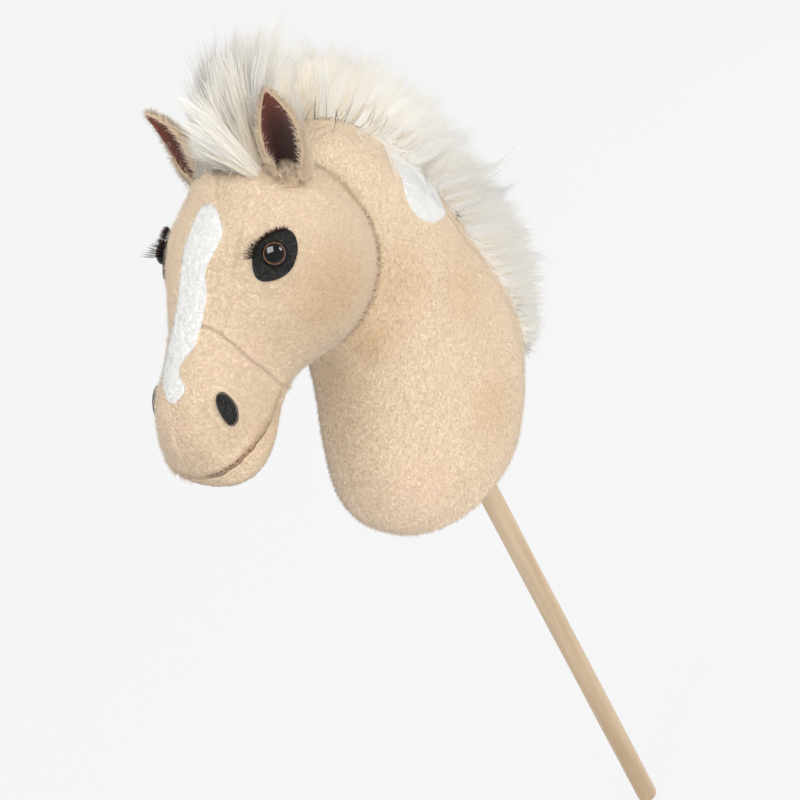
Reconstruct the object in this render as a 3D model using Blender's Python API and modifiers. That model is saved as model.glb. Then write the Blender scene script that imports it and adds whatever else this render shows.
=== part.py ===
"""Hobby horse: a stuffed horse's head and neck on a wooden stick.

Metres, +Z up. The origin is the centre of the stick's foot, the stick stands along +Z and the
horse faces -Y, so its left side is +X. The neck and the head are soft forms given by rings of
egg-shaped sections. Each fabric panel is a stretch of such a form, as deep as the fabric, and
lies on the filling inside it.
"""

import math
from bisect import bisect_right
from collections import namedtuple

import bmesh
import bpy
from mathutils import Matrix, Vector

Ring = namedtuple("Ring", "along rise drop half_width level")
SIDES = (("left", 1.0), ("right", -1.0))

# How an ear stands: its lean outwards and forwards, and how far its opening turns outwards
Stance = namedtuple("Stance", "outward forward opening")
EAR_STANCES = {
    "left": Stance(math.radians(13), math.radians(3), math.radians(38)),
    "right": Stance(math.radians(31), math.radians(12), math.radians(6)),
}
TOP = math.pi / 2

# Wooden stick
stick_diameter = 0.022
stick_edge_radius = 0.005
stick_sides = 32

# Plastic sleeve in the neck that the stick pushes into
sleeve_wall = 0.0015
sleeve_depth = 0.288
push_clearance = 0.0003
piece_gap = 0.0003

# Hem tape round the hole in the neck's base
collar_width = 0.006
collar_thickness = 0.0025

# Fabric and filling
skin_thickness = 0.003
seam_gap = 0.0005
filling_clearance = 0.0010
# How far a cutter with a form's shape stands off the form, so that its flat facets clear the skin
cutter_lift = 0.0011
patch_thickness = 0.0012
patch_lift = 0.0009

# Neck
neck_base_height = 0.494
stick_length = neck_base_height + sleeve_depth - piece_gap
neck_height = 0.414
neck_half_width = 0.075
chest_reach = 0.144
crest_reach = 0.130
neck_taper = 0.20
base_seam_height = 0.010

# Head
head_pitch = math.radians(34.5)
skull_forward = 0.0905
skull_below_poll = 0.0873
skull_half_width = 0.091
brow_rise = 0.083
jowl_drop = 0.098
crown_reach = 0.086
muzzle_reach = 0.214
section_squareness = 2.1
mouth_slit = 0.0026
mouth_lining_depth = 0.0014

# Eyes, felt patches and lashes
eye_along = 0.0203
eye_angle = math.radians(39)
eye_radius = 0.0105
eye_dome_height = 0.0065
eye_patch_length = 0.0475
eye_patch_width = 0.0355
eye_rim_height = 0.0016
shank_radius = 0.0022
shank_length = 0.010
shank_clearance = 0.0004
washer_radius = 0.0080
washer_thickness = 0.0016
washer_standoff = 0.0018
lash_length = 0.013
lash_flare = 0.006
lash_thickness = 0.0008
lash_edge_inset = 0.002

# Nostrils
nostril_along = 0.1515
nostril_angle = math.radians(29.5)
nostril_length = 0.024
nostril_width = 0.019

# Ears
ear_along = -0.058
ear_angle = math.radians(38)
ear_height = 0.071
ear_root_depth = 0.017
ear_skin_thickness = 0.0025
ear_lining_thickness = 0.0012

# Mane and forelock
mane_start = 0.058
hair_lift = 0.0009
mane_pile = 0.069
mane_spread = 0.35
mane_sweep = 0.50
forelock_pile = 0.066
forelock_spread = 0.16
forelock_lean = 0.16
forelock_back = -0.084
forelock_front = -0.036
forelock_half_angle = math.radians(27)
poll_parting = -0.050

# Facets
round_columns = 36
filling_columns = 24
panel_rows = 13
# Above 1, the rows of the head's panels lie closer together towards the crown
crown_crowding = 1.35

TAN_PLUSH = (0.78, 0.60, 0.40)
WHITE_PLUSH = (0.90, 0.88, 0.84)
CREAM_PILE = (0.86, 0.80, 0.68)
BLACK_FELT = (0.02, 0.02, 0.022)
BROWN_VELOUR = (0.14, 0.035, 0.02)
MOUTH_RED = (0.30, 0.11, 0.08)
WADDING = (0.88, 0.88, 0.86)
WOOD = (0.62, 0.46, 0.31)
EYE_BROWN = (0.10, 0.045, 0.02)
CLEAR_PLASTIC = (0.80, 0.80, 0.78)


class SmoothCurve:
    """A smooth curve through points (x, y) with rising x, level beyond its ends."""

    def __init__(self, points):
        self.xs = [x for x, _ in points]
        self.ys = [y for _, y in points]
        steps = [
            (self.ys[i + 1] - self.ys[i]) / (self.xs[i + 1] - self.xs[i])
            for i in range(len(points) - 1)
        ]
        self.slopes = [steps[0]]
        for i in range(1, len(steps)):
            before = self.xs[i] - self.xs[i - 1]
            after = self.xs[i + 1] - self.xs[i]
            self.slopes.append((steps[i - 1] * after + steps[i] * before) / (before + after))
        self.slopes.append(steps[-1])

    def at(self, x):
        x = min(max(x, self.xs[0]), self.xs[-1])
        i = min(bisect_right(self.xs, x), len(self.xs) - 1) - 1
        width = self.xs[i + 1] - self.xs[i]
        u = (x - self.xs[i]) / width
        start = (2 * u**3 - 3 * u**2 + 1) * self.ys[i] + (u**3 - 2 * u**2 + u) * width * self.slopes[i]
        end = (3 * u**2 - 2 * u**3) * self.ys[i + 1] + (u**3 - u**2) * width * self.slopes[i + 1]
        return start + end


class Form:
    """A soft form: egg-shaped sections along an axis, alike on both sides of X = 0.

    A place on it is how far along the axis it lies, and its angle round the axis from the
    left side, where a quarter turn is the rise side.
    """

    def __init__(self, origin, axis, up, rings, taper):
        self.origin = Vector(origin)
        self.axis = Vector(axis)
        self.up = Vector(up)
        self.taper = taper
        self.first = rings[0].along
        self.last = rings[-1].along
        self.curves = [
            SmoothCurve([(ring.along, getattr(ring, size)) for ring in rings])
            for size in Ring._fields[1:]
        ]

    def surface(self, along, angle):
        rise, drop, half_width, level = [curve.at(along) for curve in self.curves]
        power = 2 / section_squareness
        sine = math.sin(angle)
        cosine = math.cos(angle)
        reach = rise if sine > 0 else drop
        height = level + (reach - level) * abs(sine) ** power
        side = half_width * math.copysign(abs(cosine) ** power, cosine) * (1 - self.taper * sine)
        return self.origin + self.axis * along + self.up * height + Vector((side, 0, 0))

    def rate(self, along, angle):
        """How far the surface moves for each radian of angle."""
        step = 0.01
        return (self.surface(along, angle + step) - self.surface(along, angle - step)) / (2 * step)

    def normal(self, along, angle):
        step = 0.0004
        low = max(along - step, self.first)
        high = min(along + step, self.last)
        lengthwise = self.surface(high, angle) - self.surface(low, angle)
        return self.rate(along, angle).cross(lengthwise).normalized()

    def point(self, along, angle, inset=0.0):
        return self.surface(along, angle) - self.normal(along, angle) * inset

    def gap_angle(self, along, angle):
        """The angle that half a seam gap takes up there."""
        return seam_gap / 2 / self.rate(along, angle).length

    def layer(self, places, inset):
        return [[self.point(along, angle, inset) for along, angle in row] for row in places]


def share_curve(points, width, height):
    """A smooth curve through points given as shares of two sizes."""
    return SmoothCurve([(x * width, y * height) for x, y in points])


def degree_curve(points, width=1.0):
    """A smooth curve of angles in degrees over shares of a size."""
    return SmoothCurve([(x * width, math.radians(y)) for x, y in points])


def neck_form():
    """The neck and chest round the stick: rise is the crest behind, drop the chest in front."""
    shares = (
        # height, crest, chest, half width
        (0.000, 0.15, 0.42, 0.45),
        (0.012, 0.39, 0.69, 0.72),
        (0.053, 0.61, 0.89, 0.89),
        (0.121, 0.80, 1.00, 0.99),
        (0.200, 0.94, 1.01, 1.00),
        (0.309, 1.00, 0.91, 0.97),
        (0.430, 0.93, 0.75, 0.93),
        (0.575, 0.83, 0.69, 0.91),
        (0.720, 0.71, 0.69, 0.91),
        (0.840, 0.54, 0.67, 0.92),
        (0.930, 0.30, 0.60, 0.80),
        (0.970, 0.10, 0.54, 0.60),
        (0.991, -0.10, 0.44, 0.34),
        (1.000, -0.29, 0.31, 0.03),
    )
    rings = []
    for height, crest, chest, width in shares:
        rise = crest * crest_reach
        drop = -chest * chest_reach
        rings.append(Ring(height * neck_height, rise, drop, width * neck_half_width, (rise + drop) / 2))
    return Form((0, 0, neck_base_height), (0, 0, 1), (0, 1, 0), rings, neck_taper)


def head_form():
    """The head from the crown to the lips: rise is the nose line, drop the jaw."""
    shares = (
        # along, nose line, jaw, half width, level of the widest line
        (-1.000, 0.43, 0.14, 0.26, 0.10),
        (-0.884, 0.66, 0.47, 0.56, 0.10),
        (-0.581, 0.88, 0.80, 0.84, 0.05),
        (-0.233, 0.98, 0.97, 0.99, 0.02),
        (0.093, 1.00, 1.00, 1.00, 0.00),
        (0.280, 0.94, 0.84, 0.85, 0.00),
        (0.444, 0.88, 0.54, 0.615, 0.10),
        (0.584, 0.84, 0.43, 0.55, 0.16),
        (0.724, 0.80, 0.44, 0.58, 0.15),
        (0.841, 0.68, 0.40, 0.56, 0.10),
        (0.935, 0.48, 0.27, 0.45, 0.10),
        (0.986, 0.265, 0.08, 0.24, 0.10),
        (1.000, 0.14, -0.05, 0.04, 0.10),
    )
    rings = []
    for along, rise, drop, width, level in shares:
        reach = muzzle_reach if along > 0 else crown_reach
        rings.append(
            Ring(
                along * reach,
                rise * brow_rise,
                -drop * jowl_drop,
                width * skull_half_width,
                level * brow_rise,
            )
        )
    axis = (0, -math.cos(head_pitch), -math.sin(head_pitch))
    up = (0, -math.sin(head_pitch), math.cos(head_pitch))
    centre = (0, -skull_forward, neck_base_height + neck_height - skull_below_poll)
    return Form(centre, axis, up, rings, 0.0)


NECK = neck_form()
HEAD = head_form()

# The seams, as angles on the forms
MANE_BORDER = degree_curve(
    (
        (0.135, 90),
        (0.150, 76),
        (0.176, 67),
        (0.212, 61),
        (0.310, 62),
        (0.445, 59),
        (0.575, 66),
        (0.700, 66),
        (0.795, 55),
        (0.850, 51),
        (0.960, 55),
        (1.000, 60),
    ),
    neck_height,
)
# Felt outlines, as shares of their length along the head and their width round it
EYE_PATCH_SHARES = (
    (-0.49, -0.11),
    (-0.41, -0.35),
    (-0.14, -0.51),
    (0.19, -0.49),
    (0.41, -0.25),
    (0.51, 0.11),
    (0.36, 0.37),
    (0.06, 0.49),
    (-0.21, 0.39),
    (-0.40, 0.15),
)
NOSTRIL_SHARES = (
    (-0.48, 0.26),
    (-0.25, 0.50),
    (0.08, 0.37),
    (0.40, 0.05),
    (0.52, -0.26),
    (0.33, -0.50),
    (0.00, -0.47),
    (-0.29, -0.21),
)
GUSSET_BORDER = degree_curve(((-0.4, 66), (0.02, 63), (0.19, 60), (0.33, 56), (0.43, 50)), muzzle_reach)
THROAT_BORDER = math.radians(-75)
MUZZLE_SEAM = SmoothCurve(
    [
        (math.radians(angle), share * muzzle_reach)
        for angle, share in (
            (-90, 0.551),
            (-28, 0.541),
            (0, 0.517),
            (20, 0.494),
            (41, 0.455),
            (53, 0.433),
            (90, 0.412),
        )
    ]
)
MOUTH_LINE = share_curve(
    (
        (0.47, -0.24),
        (0.547, -0.205),
        (0.648, -0.15),
        (0.748, 0.00),
        (0.841, 0.11),
        (0.907, 0.19),
        (0.953, 0.24),
        (1.05, 0.28),
    ),
    muzzle_reach,
    brow_rise,
)

parts = bpy.data.collections.new("hobby_horse")
cutters = bpy.data.collections.new("cutters")


def make_material(name, colour, roughness):
    material = bpy.data.materials.new(name)
    material.use_nodes = True
    shader = material.node_tree.nodes["Principled BSDF"]
    shader.inputs["Base Color"].default_value = (*colour, 1.0)
    shader.inputs["Roughness"].default_value = roughness
    shader.inputs["Metallic"].default_value = 0.0
    return material


def place(name, mesh, collection=parts):
    item = bpy.data.objects.new(name, mesh)
    collection.objects.link(item)
    return item


def as_mesh(bm, name):
    bmesh.ops.remove_doubles(bm, verts=bm.verts, dist=1e-6)
    bmesh.ops.recalc_face_normals(bm, faces=bm.faces)
    mesh = bpy.data.meshes.new(name)
    bm.to_mesh(mesh)
    bm.free()
    return mesh


def dress(item, colour, roughness):
    """Gives a piece its own material and smooth shading."""
    item.data.materials.append(make_material(item.name, colour, roughness))
    item.data.shade_smooth()
    item.data.set_sharp_from_angle(angle=math.radians(40))
    return item


def hide(item):
    item.hide_render = True
    item.display_type = "WIRE"
    return item


def cut(item, *tools):
    for tool in tools:
        boolean = item.modifiers.new("cut by " + tool.name, "BOOLEAN")
        boolean.operation = "DIFFERENCE"
        boolean.object = tool


def mirrored(rows, side):
    return [[Vector((point.x * side, point.y, point.z)) for point in row] for row in rows]


def add_face(bm, near_start, near_end, far_end, far_start):
    """Two triangles whose shared edge runs the same way in every layer."""
    bm.faces.new((near_start, near_end, far_end))
    bm.faces.new((near_start, far_end, far_start))


def shell(name, outer, inner, side=1.0, wrap=False):
    """A body between two layers of one grid, closed round its edges."""
    bm = bmesh.new()
    layers = [
        [[bm.verts.new(point) for point in row] for row in mirrored(rows, side)]
        for rows in (outer, inner)
    ]
    rows = len(outer)
    columns = len(outer[0])
    spans = columns if wrap else columns - 1
    for grid in layers:
        for i in range(rows - 1):
            for j in range(spans):
                k = (j + 1) % columns
                add_face(bm, grid[i][j], grid[i][k], grid[i + 1][k], grid[i + 1][j])
    top, bottom = layers
    for i in (0, rows - 1):
        for j in range(spans):
            k = (j + 1) % columns
            add_face(bm, top[i][j], top[i][k], bottom[i][k], bottom[i][j])
    if not wrap:
        for j in (0, columns - 1):
            for i in range(rows - 1):
                add_face(bm, top[i][j], top[i + 1][j], bottom[i + 1][j], bottom[i][j])
    return place(name, as_mesh(bm, name))


def loft(name, rings, collection=parts):
    """A solid through closed rings of equal counts, with flat ends."""
    bm = bmesh.new()
    loops = [[bm.verts.new(point) for point in ring] for ring in rings]
    count = len(loops[0])
    for near, far in zip(loops, loops[1:]):
        for j in range(count):
            k = (j + 1) % count
            bm.faces.new((near[j], near[k], far[k], far[j]))
    bm.faces.new(loops[0])
    bm.faces.new(loops[-1])
    return place(name, as_mesh(bm, name), collection)


def turned(name, profile, matrix, collection=parts):
    """A turned shape: its profile runs down the outer side, and local Z is the axis."""
    bm = bmesh.new()
    points = [bm.verts.new((radius, 0, height)) for radius, height in profile]
    for start, end in zip(points, points[1:]):
        bm.edges.new((start, end))
    if profile[0][0] > 0:
        bm.edges.new((points[-1], points[0]))
    mesh = bpy.data.meshes.new(name)
    bm.to_mesh(mesh)
    bm.free()
    item = place(name, mesh, collection)
    item.matrix_world = matrix
    screw = item.modifiers.new("turn", "SCREW")
    screw.steps = stick_sides
    screw.render_steps = stick_sides
    screw.use_merge_vertices = True
    screw.merge_threshold = 0.00001
    screw.use_smooth_shade = True
    return item


def span(start, end, count):
    """Evenly spaced values, both ends included."""
    return [start + (end - start) * i / (count - 1) for i in range(count)]


def full_turn(columns=round_columns):
    return [2 * math.pi * j / columns for j in range(columns)]


def form_rings(form, stations, inset, columns=round_columns):
    return [[form.point(along, angle, inset) for angle in full_turn(columns)] for along in stations]


def neck_rows():
    """Stations up the neck's side, closer together where the mane begins."""
    lower = span(base_seam_height + seam_gap / 2, mane_start, 5)
    shoulder = span(mane_start, 0.21 * neck_height, 5)
    upper = span(0.21 * neck_height, 0.93 * neck_height, 9)
    poll = span(0.93 * neck_height, neck_height, 4)
    return lower, shoulder, upper, poll


def neck_stations():
    base = span(0, base_seam_height, 4)
    lower, shoulder, upper, poll = neck_rows()
    return base + lower[1:] + shoulder[1:] + upper[1:] + poll[1:]


def head_stations():
    crown = span(-crown_reach, -0.5 * crown_reach, 7)
    face = span(-0.5 * crown_reach, 0.84 * muzzle_reach, 14)
    return crown + face[1:] + [share * muzzle_reach for share in (0.89, 0.935, 0.965, 0.985, 1.0)]


def surface_frame(form, along, angle, lift, side):
    """A frame on the form, its Z along the normal, its origin lifted off the surface."""
    centre = form.point(along, angle, -lift)
    centre.x *= side
    normal = form.normal(along, angle)
    normal.x *= side
    return Matrix.Translation(centre) @ normal.to_track_quat("Z", "Y").to_matrix().to_4x4()


def closed_outline(shares, length, width, steps=3):
    """A smooth closed line through points given as shares, with steps between each two."""
    points = [(along * length, across * width) for along, across in shares]
    line = []
    count = len(points)
    for i in range(count):
        before, start, end, after = [Vector(points[(i + k) % count]) for k in (-1, 0, 1, 2)]
        for step in range(steps):
            u = step / steps
            bend = (2 * before - 5 * start + 4 * end - after) * u**2
            twist = (3 * start - before - 3 * end + after) * u**3
            line.append(start + ((end - before) * u + bend + twist) / 2)
    return line


def spot_places(form, along, angle, outline, scales):
    """Places of an outline on the form round a centre, at each scale of the outline."""
    rate = form.rate(along, angle).length
    return [[(along + p * scale, angle + q * scale / rate) for p, q in outline] for scale in scales]


def build_stick():
    bpy.ops.mesh.primitive_cylinder_add(
        vertices=stick_sides,
        radius=stick_diameter / 2,
        depth=stick_length,
        location=(0, 0, stick_length / 2),
    )
    stick = bpy.context.object
    stick.name = "stick"
    stick.data.name = "stick"
    for collection in stick.users_collection:
        collection.objects.unlink(stick)
    parts.objects.link(stick)
    rounding = stick.modifiers.new("rounded ends", "BEVEL")
    rounding.width = stick_edge_radius
    rounding.segments = 4
    rounding.limit_method = "ANGLE"
    rounding.angle_limit = math.radians(60)
    dress(stick, WOOD, 0.55)


def sleeve_outer_radius():
    return stick_diameter / 2 + push_clearance + sleeve_wall


def build_sleeve_and_collar():
    bore = stick_diameter / 2 + push_clearance
    outside = sleeve_outer_radius()
    seat = sleeve_depth + sleeve_wall
    sleeve_profile = (
        (0, seat),
        (outside, seat),
        (outside, 0),
        (bore, 0),
        (bore, sleeve_depth),
        (0, sleeve_depth),
    )
    base = Matrix.Translation((0, 0, neck_base_height))
    dress(turned("stick_sleeve", sleeve_profile, base), CLEAR_PLASTIC, 0.4)

    rim = bore + collar_width
    low = -collar_thickness
    edge = collar_thickness / 3
    collar_profile = (
        (rim - edge, 0),
        (rim, -edge),
        (rim, low + edge),
        (rim - edge, low),
        (bore, low),
        (bore, 0),
    )
    under_base = Matrix.Translation((0, 0, neck_base_height - piece_gap))
    dress(turned("base_collar", collar_profile, under_base), WHITE_PLUSH, 0.9)


def build_base_panel():
    """The round base of the neck, from the stick's hole up to the seam with the side panels."""
    hole = sleeve_outer_radius() + piece_gap
    turns = full_turn()
    rim = [Vector((hole * math.cos(angle), hole * math.sin(angle), neck_base_height)) for angle in turns]
    lifted_rim = [point + Vector((0, 0, skin_thickness)) for point in rim]
    stations = span(0, base_seam_height - seam_gap / 2, 4)
    outer = [rim] + form_rings(NECK, stations, 0)
    inner = [lifted_rim] + form_rings(NECK, stations, skin_thickness)
    dress(shell("base_panel", outer, inner, wrap=True), TAN_PLUSH, 0.95)


def build_neck_panels(head_cutter):
    """The two side panels, from the chest seam round to the back seam or the mane."""
    lower, shoulder, upper, poll = neck_rows()
    stations = lower + shoulder[1:] + upper[1:] + poll[1:]
    columns = round_columns // 2
    places = []
    for along in stations:
        front = -TOP + NECK.gap_angle(along, -TOP)
        border = MANE_BORDER.at(along)
        back = border - NECK.gap_angle(along, border)
        places.append([(along, angle) for angle in span(front, back, columns + 1)])
    outer = NECK.layer(places, 0)
    inner = NECK.layer(places, skin_thickness)
    for side_name, side in SIDES:
        panel = shell("neck_panel_" + side_name, outer, inner, side)
        cut(panel, head_cutter)
        dress(panel, TAN_PLUSH, 0.95)


def build_crest_panel(head_cutter):
    """The strip of backing that the mane's pile grows from."""
    _, shoulder, upper, poll = neck_rows()
    places = []
    for along in shoulder + upper[1:] + poll[1:]:
        border = MANE_BORDER.at(along)
        edge = border + NECK.gap_angle(along, border)
        places.append([(along, angle) for angle in span(edge, math.pi - edge, 9)])
    panel = shell("crest_panel", NECK.layer(places, 0), NECK.layer(places, skin_thickness))
    cut(panel, head_cutter)
    dress(panel, CREAM_PILE, 0.95)


def head_panel_places(low_border, high_border):
    """Places of a head panel between two borders, from the crown to the muzzle seam."""
    start = HEAD.first + 0.002
    typical_seam = 0.47 * muzzle_reach
    places = []
    for share in span(0, 1, panel_rows + 1):
        u = share**crown_crowding
        near = start + u * (typical_seam - start)
        row = []
        for angle in span(low_border(near), high_border(near), 13):
            seam = MUZZLE_SEAM.at(math.asin(math.sin(angle))) - seam_gap / 2
            row.append((start + u * (seam - start), angle))
        places.append(row)
    return places


def gusset_edge(along, offset):
    border = GUSSET_BORDER.at(along)
    return border + offset * HEAD.gap_angle(along, border)


def throat_edge(along, offset):
    return THROAT_BORDER + offset * HEAD.gap_angle(along, THROAT_BORDER)


def build_head_panels(neck_cutter, eye_holes):
    """The cheeks, the forehead and nose gusset between them above, and the throat gusset below."""
    cheek = head_panel_places(lambda a: throat_edge(a, 1), lambda a: gusset_edge(a, -1))
    outer = HEAD.layer(cheek, 0)
    inner = HEAD.layer(cheek, skin_thickness)
    for (side_name, side), eye_hole in zip(SIDES, eye_holes):
        panel = shell("cheek_panel_" + side_name, outer, inner, side)
        cut(panel, neck_cutter, eye_hole)
        dress(panel, TAN_PLUSH, 0.95)
    gussets = {
        "forehead_panel": head_panel_places(
            lambda a: gusset_edge(a, 1), lambda a: math.pi - gusset_edge(a, 1)
        ),
        "throat_panel": head_panel_places(
            lambda a: -math.pi - throat_edge(a, -1), lambda a: throat_edge(a, -1)
        ),
    }
    for name, places in gussets.items():
        panel = shell(name, HEAD.layer(places, 0), HEAD.layer(places, skin_thickness))
        cut(panel, neck_cutter)
        dress(panel, TAN_PLUSH, 0.95)


def profile_block(name, outline, half_width, collection):
    """A block whose side view in the head's own plane is an outline of (along, height)."""
    middle = [HEAD.origin + HEAD.axis * along + HEAD.up * height for along, height in outline]
    sections = [[point + Vector((x, 0, 0)) for point in middle] for x in (half_width, -half_width)]
    return loft(name, sections, collection)


def build_muzzle():
    """The muzzle above the mouth, the lower lip below it and the lining in the slit."""
    rows = (0.0, 0.13, 0.26, 0.39, 0.51, 0.62, 0.72, 0.81, 0.88, 0.93, 0.97, 0.99, 1.0)
    places = []
    for share in rows:
        row = []
        for angle in full_turn():
            seam = MUZZLE_SEAM.at(math.asin(math.sin(angle))) + seam_gap / 2
            row.append((seam + share * (muzzle_reach - seam), angle))
        places.append(row)
    outer = HEAD.layer(places, 0)
    inner = HEAD.layer(places, skin_thickness)

    line = [(along, MOUTH_LINE.at(along)) for along in span(0.35 * muzzle_reach, 1.06 * muzzle_reach, 16)]
    reach = 2 * skull_half_width
    shift = mouth_slit / 2
    corner = line[0][0]
    tip = line[-1][0]
    below = [(along, height + shift) for along, height in line] + [(tip, -reach), (corner, -reach)]
    above = [(along, height - shift) for along, height in line] + [(tip, reach), (corner, reach)]
    cutter_below = hide(profile_block("below_mouth", below, reach, cutters))
    cutter_above = hide(profile_block("above_mouth", above, reach, cutters))
    for name, tool in (("muzzle_panel", cutter_below), ("lower_lip", cutter_above)):
        panel = shell(name, outer, inner, wrap=True)
        cut(panel, tool)
        dress(panel, TAN_PLUSH, 0.95)

    half = mouth_slit / 2 - piece_gap
    corner = 0.553 * muzzle_reach
    slit = [(along, MOUTH_LINE.at(along)) for along in span(corner, 1.03 * muzzle_reach, 13)]
    band = [(along, height + half) for along, height in slit]
    band += [(along, height - half) for along, height in reversed(slit)]
    lining = profile_block("mouth_lining", band, reach, parts)
    stations = [along for along in head_stations() if along > 0.4 * muzzle_reach]
    face = hide(loft("mouth_face", form_rings(HEAD, stations, mouth_lining_depth), cutters))
    core = hide(loft("mouth_core", form_rings(HEAD, stations, skin_thickness), cutters))
    trim = lining.modifiers.new("trim to the skin", "BOOLEAN")
    trim.operation = "INTERSECT"
    trim.object = face
    cut(lining, core)
    dress(lining, MOUTH_RED, 0.9)


def build_fillings(sleeve_cutter, washer_pockets):
    inset = skin_thickness + filling_clearance
    neck_rings = form_rings(NECK, neck_stations(), inset, filling_columns)
    neck_stuffing = loft("neck_filling", neck_rings)
    hollow_rings = form_rings(HEAD, head_stations(), skin_thickness, filling_columns)
    hollow = hide(loft("head_hollow", hollow_rings, cutters))
    cut(neck_stuffing, hollow, sleeve_cutter)
    dress(neck_stuffing, WADDING, 1.0)

    head_stuffing = loft("head_filling", form_rings(HEAD, head_stations(), inset, filling_columns))
    cut(head_stuffing, sleeve_cutter, *washer_pockets)
    dress(head_stuffing, WADDING, 1.0)


def make_form_cutters():
    """The head and the neck a little grown, and the hollow of the neck's skin."""
    grown_head = hide(loft("head_outside", form_rings(HEAD, head_stations(), -cutter_lift), cutters))
    grown_neck = hide(loft("neck_outside", form_rings(NECK, neck_stations(), -cutter_lift), cutters))
    inner_rings = form_rings(NECK, neck_stations(), skin_thickness)
    neck_inside = hide(loft("neck_inside", inner_rings, cutters))
    return grown_head, grown_neck, neck_inside


def make_sleeve_cutter():
    radius = sleeve_outer_radius() + piece_gap
    height = sleeve_depth + sleeve_wall + piece_gap
    below = -0.01
    profile = ((0, height), (radius, height), (radius, below), (0, below))
    return hide(turned("sleeve_bore", profile, Matrix.Translation((0, 0, neck_base_height)), cutters))


def washer_top():
    """How far below the skin's face the washer's top lies, measured down the shank."""
    return skin_thickness + washer_standoff


def make_eye_cutters():
    """For each side, the shank's hole through the cheek and the washer's pocket in the filling."""
    hole_radius = shank_radius + shank_clearance
    pocket_radius = washer_radius + piece_gap
    pocket_depth = shank_length + 0.001
    holes = []
    pockets = []
    for side_name, side in SIDES:
        frame = surface_frame(HEAD, eye_along, eye_angle, 0, side)
        hole = ((0, 0.006), (hole_radius, 0.006), (hole_radius, -0.008), (0, -0.008))
        holes.append(hide(turned("shank_hole_" + side_name, hole, frame, cutters)))
        pocket = ((0, 0.004), (pocket_radius, 0.004), (pocket_radius, -pocket_depth), (0, -pocket_depth))
        pockets.append(hide(turned("washer_pocket_" + side_name, pocket, frame, cutters)))
    return holes, pockets


def build_eyes():
    """Domed eyes on a shank through the felt and the cheek, each held by a washer behind the skin."""
    seat = patch_lift + patch_thickness + piece_gap
    dome_steps = 6
    dome = []
    for step in range(dome_steps + 1):
        turn = TOP * step / dome_steps
        dome.append((eye_radius * math.sin(turn), eye_rim_height + eye_dome_height * math.cos(turn)))
    tail = ((eye_radius, 0), (shank_radius, 0), (shank_radius, -shank_length), (0, -shank_length))
    top = -washer_top() - seat
    hole = shank_radius + push_clearance
    washer = (
        (washer_radius, top),
        (washer_radius, top - washer_thickness),
        (hole, top - washer_thickness),
        (hole, top),
    )
    for side_name, side in SIDES:
        frame = surface_frame(HEAD, eye_along, eye_angle, seat, side)
        dress(turned("eye_" + side_name, tuple(dome) + tail, frame), EYE_BROWN, 0.08)
        dress(turned("eye_washer_" + side_name, washer, frame), CLEAR_PLASTIC, 0.4)



def build_felt_spots():
    """The black felt behind each eye, holed for the shank, and the felt nostrils."""
    lift = patch_lift
    rate = HEAD.rate(eye_along, eye_angle).length
    outline = closed_outline(EYE_PATCH_SHARES, eye_patch_length, eye_patch_width)
    scales = (0.4, 0.7, 1.0)
    places = spot_places(HEAD, eye_along, eye_angle, outline, scales)
    hole_radius = shank_radius + shank_clearance
    hole_row = []
    for p, q in outline:
        turn = math.atan2(q, p)
        across = hole_radius * math.sin(turn) / rate
        hole_row.append((eye_along + hole_radius * math.cos(turn), eye_angle + across))
    places.insert(0, hole_row)
    eye_layers = (HEAD.layer(places, -lift - patch_thickness), HEAD.layer(places, -lift))

    nostril = closed_outline(NOSTRIL_SHARES, nostril_length, nostril_width)
    places = spot_places(HEAD, nostril_along, nostril_angle, nostril, (0.0, 0.5, 1.0))
    nostril_layers = (HEAD.layer(places, -lift - patch_thickness), HEAD.layer(places, -lift))
    for side_name, side in SIDES:
        dress(shell("eye_patch_" + side_name, *eye_layers, side, wrap=True), BLACK_FELT, 0.95)
        spot = spot_shell("nostril_" + side_name, *nostril_layers, side)
        dress(spot, BLACK_FELT, 0.95)


def spot_shell(name, outer, inner, side):
    """A thin spot whose first row of each layer is one point at its centre."""
    bm = bmesh.new()
    rims = []
    for rows in mirrored(outer, side), mirrored(inner, side):
        centre = bm.verts.new(rows[0][0])
        loops = [[bm.verts.new(point) for point in row] for row in rows[1:]]
        count = len(loops[0])
        for j in range(count):
            k = (j + 1) % count
            bm.faces.new((centre, loops[0][j], loops[0][k]))
            for near, far in zip(loops, loops[1:]):
                bm.faces.new((near[j], near[k], far[k], far[j]))
        rims.append(loops[-1])
    for j in range(len(rims[0])):
        k = (j + 1) % len(rims[0])
        bm.faces.new((rims[0][j], rims[0][k], rims[1][k], rims[1][j]))
    return place(name, as_mesh(bm, name))


def build_lashes():
    """Lash strips that stand off the upper front edge of each felt patch."""
    rate = HEAD.rate(eye_along, eye_angle).length
    outline = closed_outline(EYE_PATCH_SHARES, eye_patch_length, eye_patch_width)
    centre = HEAD.surface(eye_along, eye_angle)
    bottom_lift = patch_lift + patch_thickness + piece_gap
    edge = [outline[j % len(outline)] for j in range(20, 31)]
    layers = []
    for depth in (0, lash_thickness):
        rows = []
        for height in (0, 0.5, 1.0):
            row = []
            for point in edge:
                shrink = 1 - (lash_edge_inset + depth) / point.length
                along = eye_along + point.x * shrink
                angle = eye_angle + point.y * shrink / rate
                foot = HEAD.point(along, angle, -bottom_lift)
                outward = (foot - centre).normalized()
                normal = HEAD.normal(along, angle)
                row.append(foot + normal * lash_length * height + outward * lash_flare * height**2)
            rows.append(row)
        layers.append(rows)
    for side_name, side in SIDES:
        dress(shell("eyelash_" + side_name, *layers, side), BLACK_FELT, 0.8)


def band_places(form, low, high, rows, columns):
    """Places between two curves of angle over the distance along."""
    return [[(along, angle) for angle in span(low.at(along), high.at(along), columns)] for along in rows]


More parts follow.
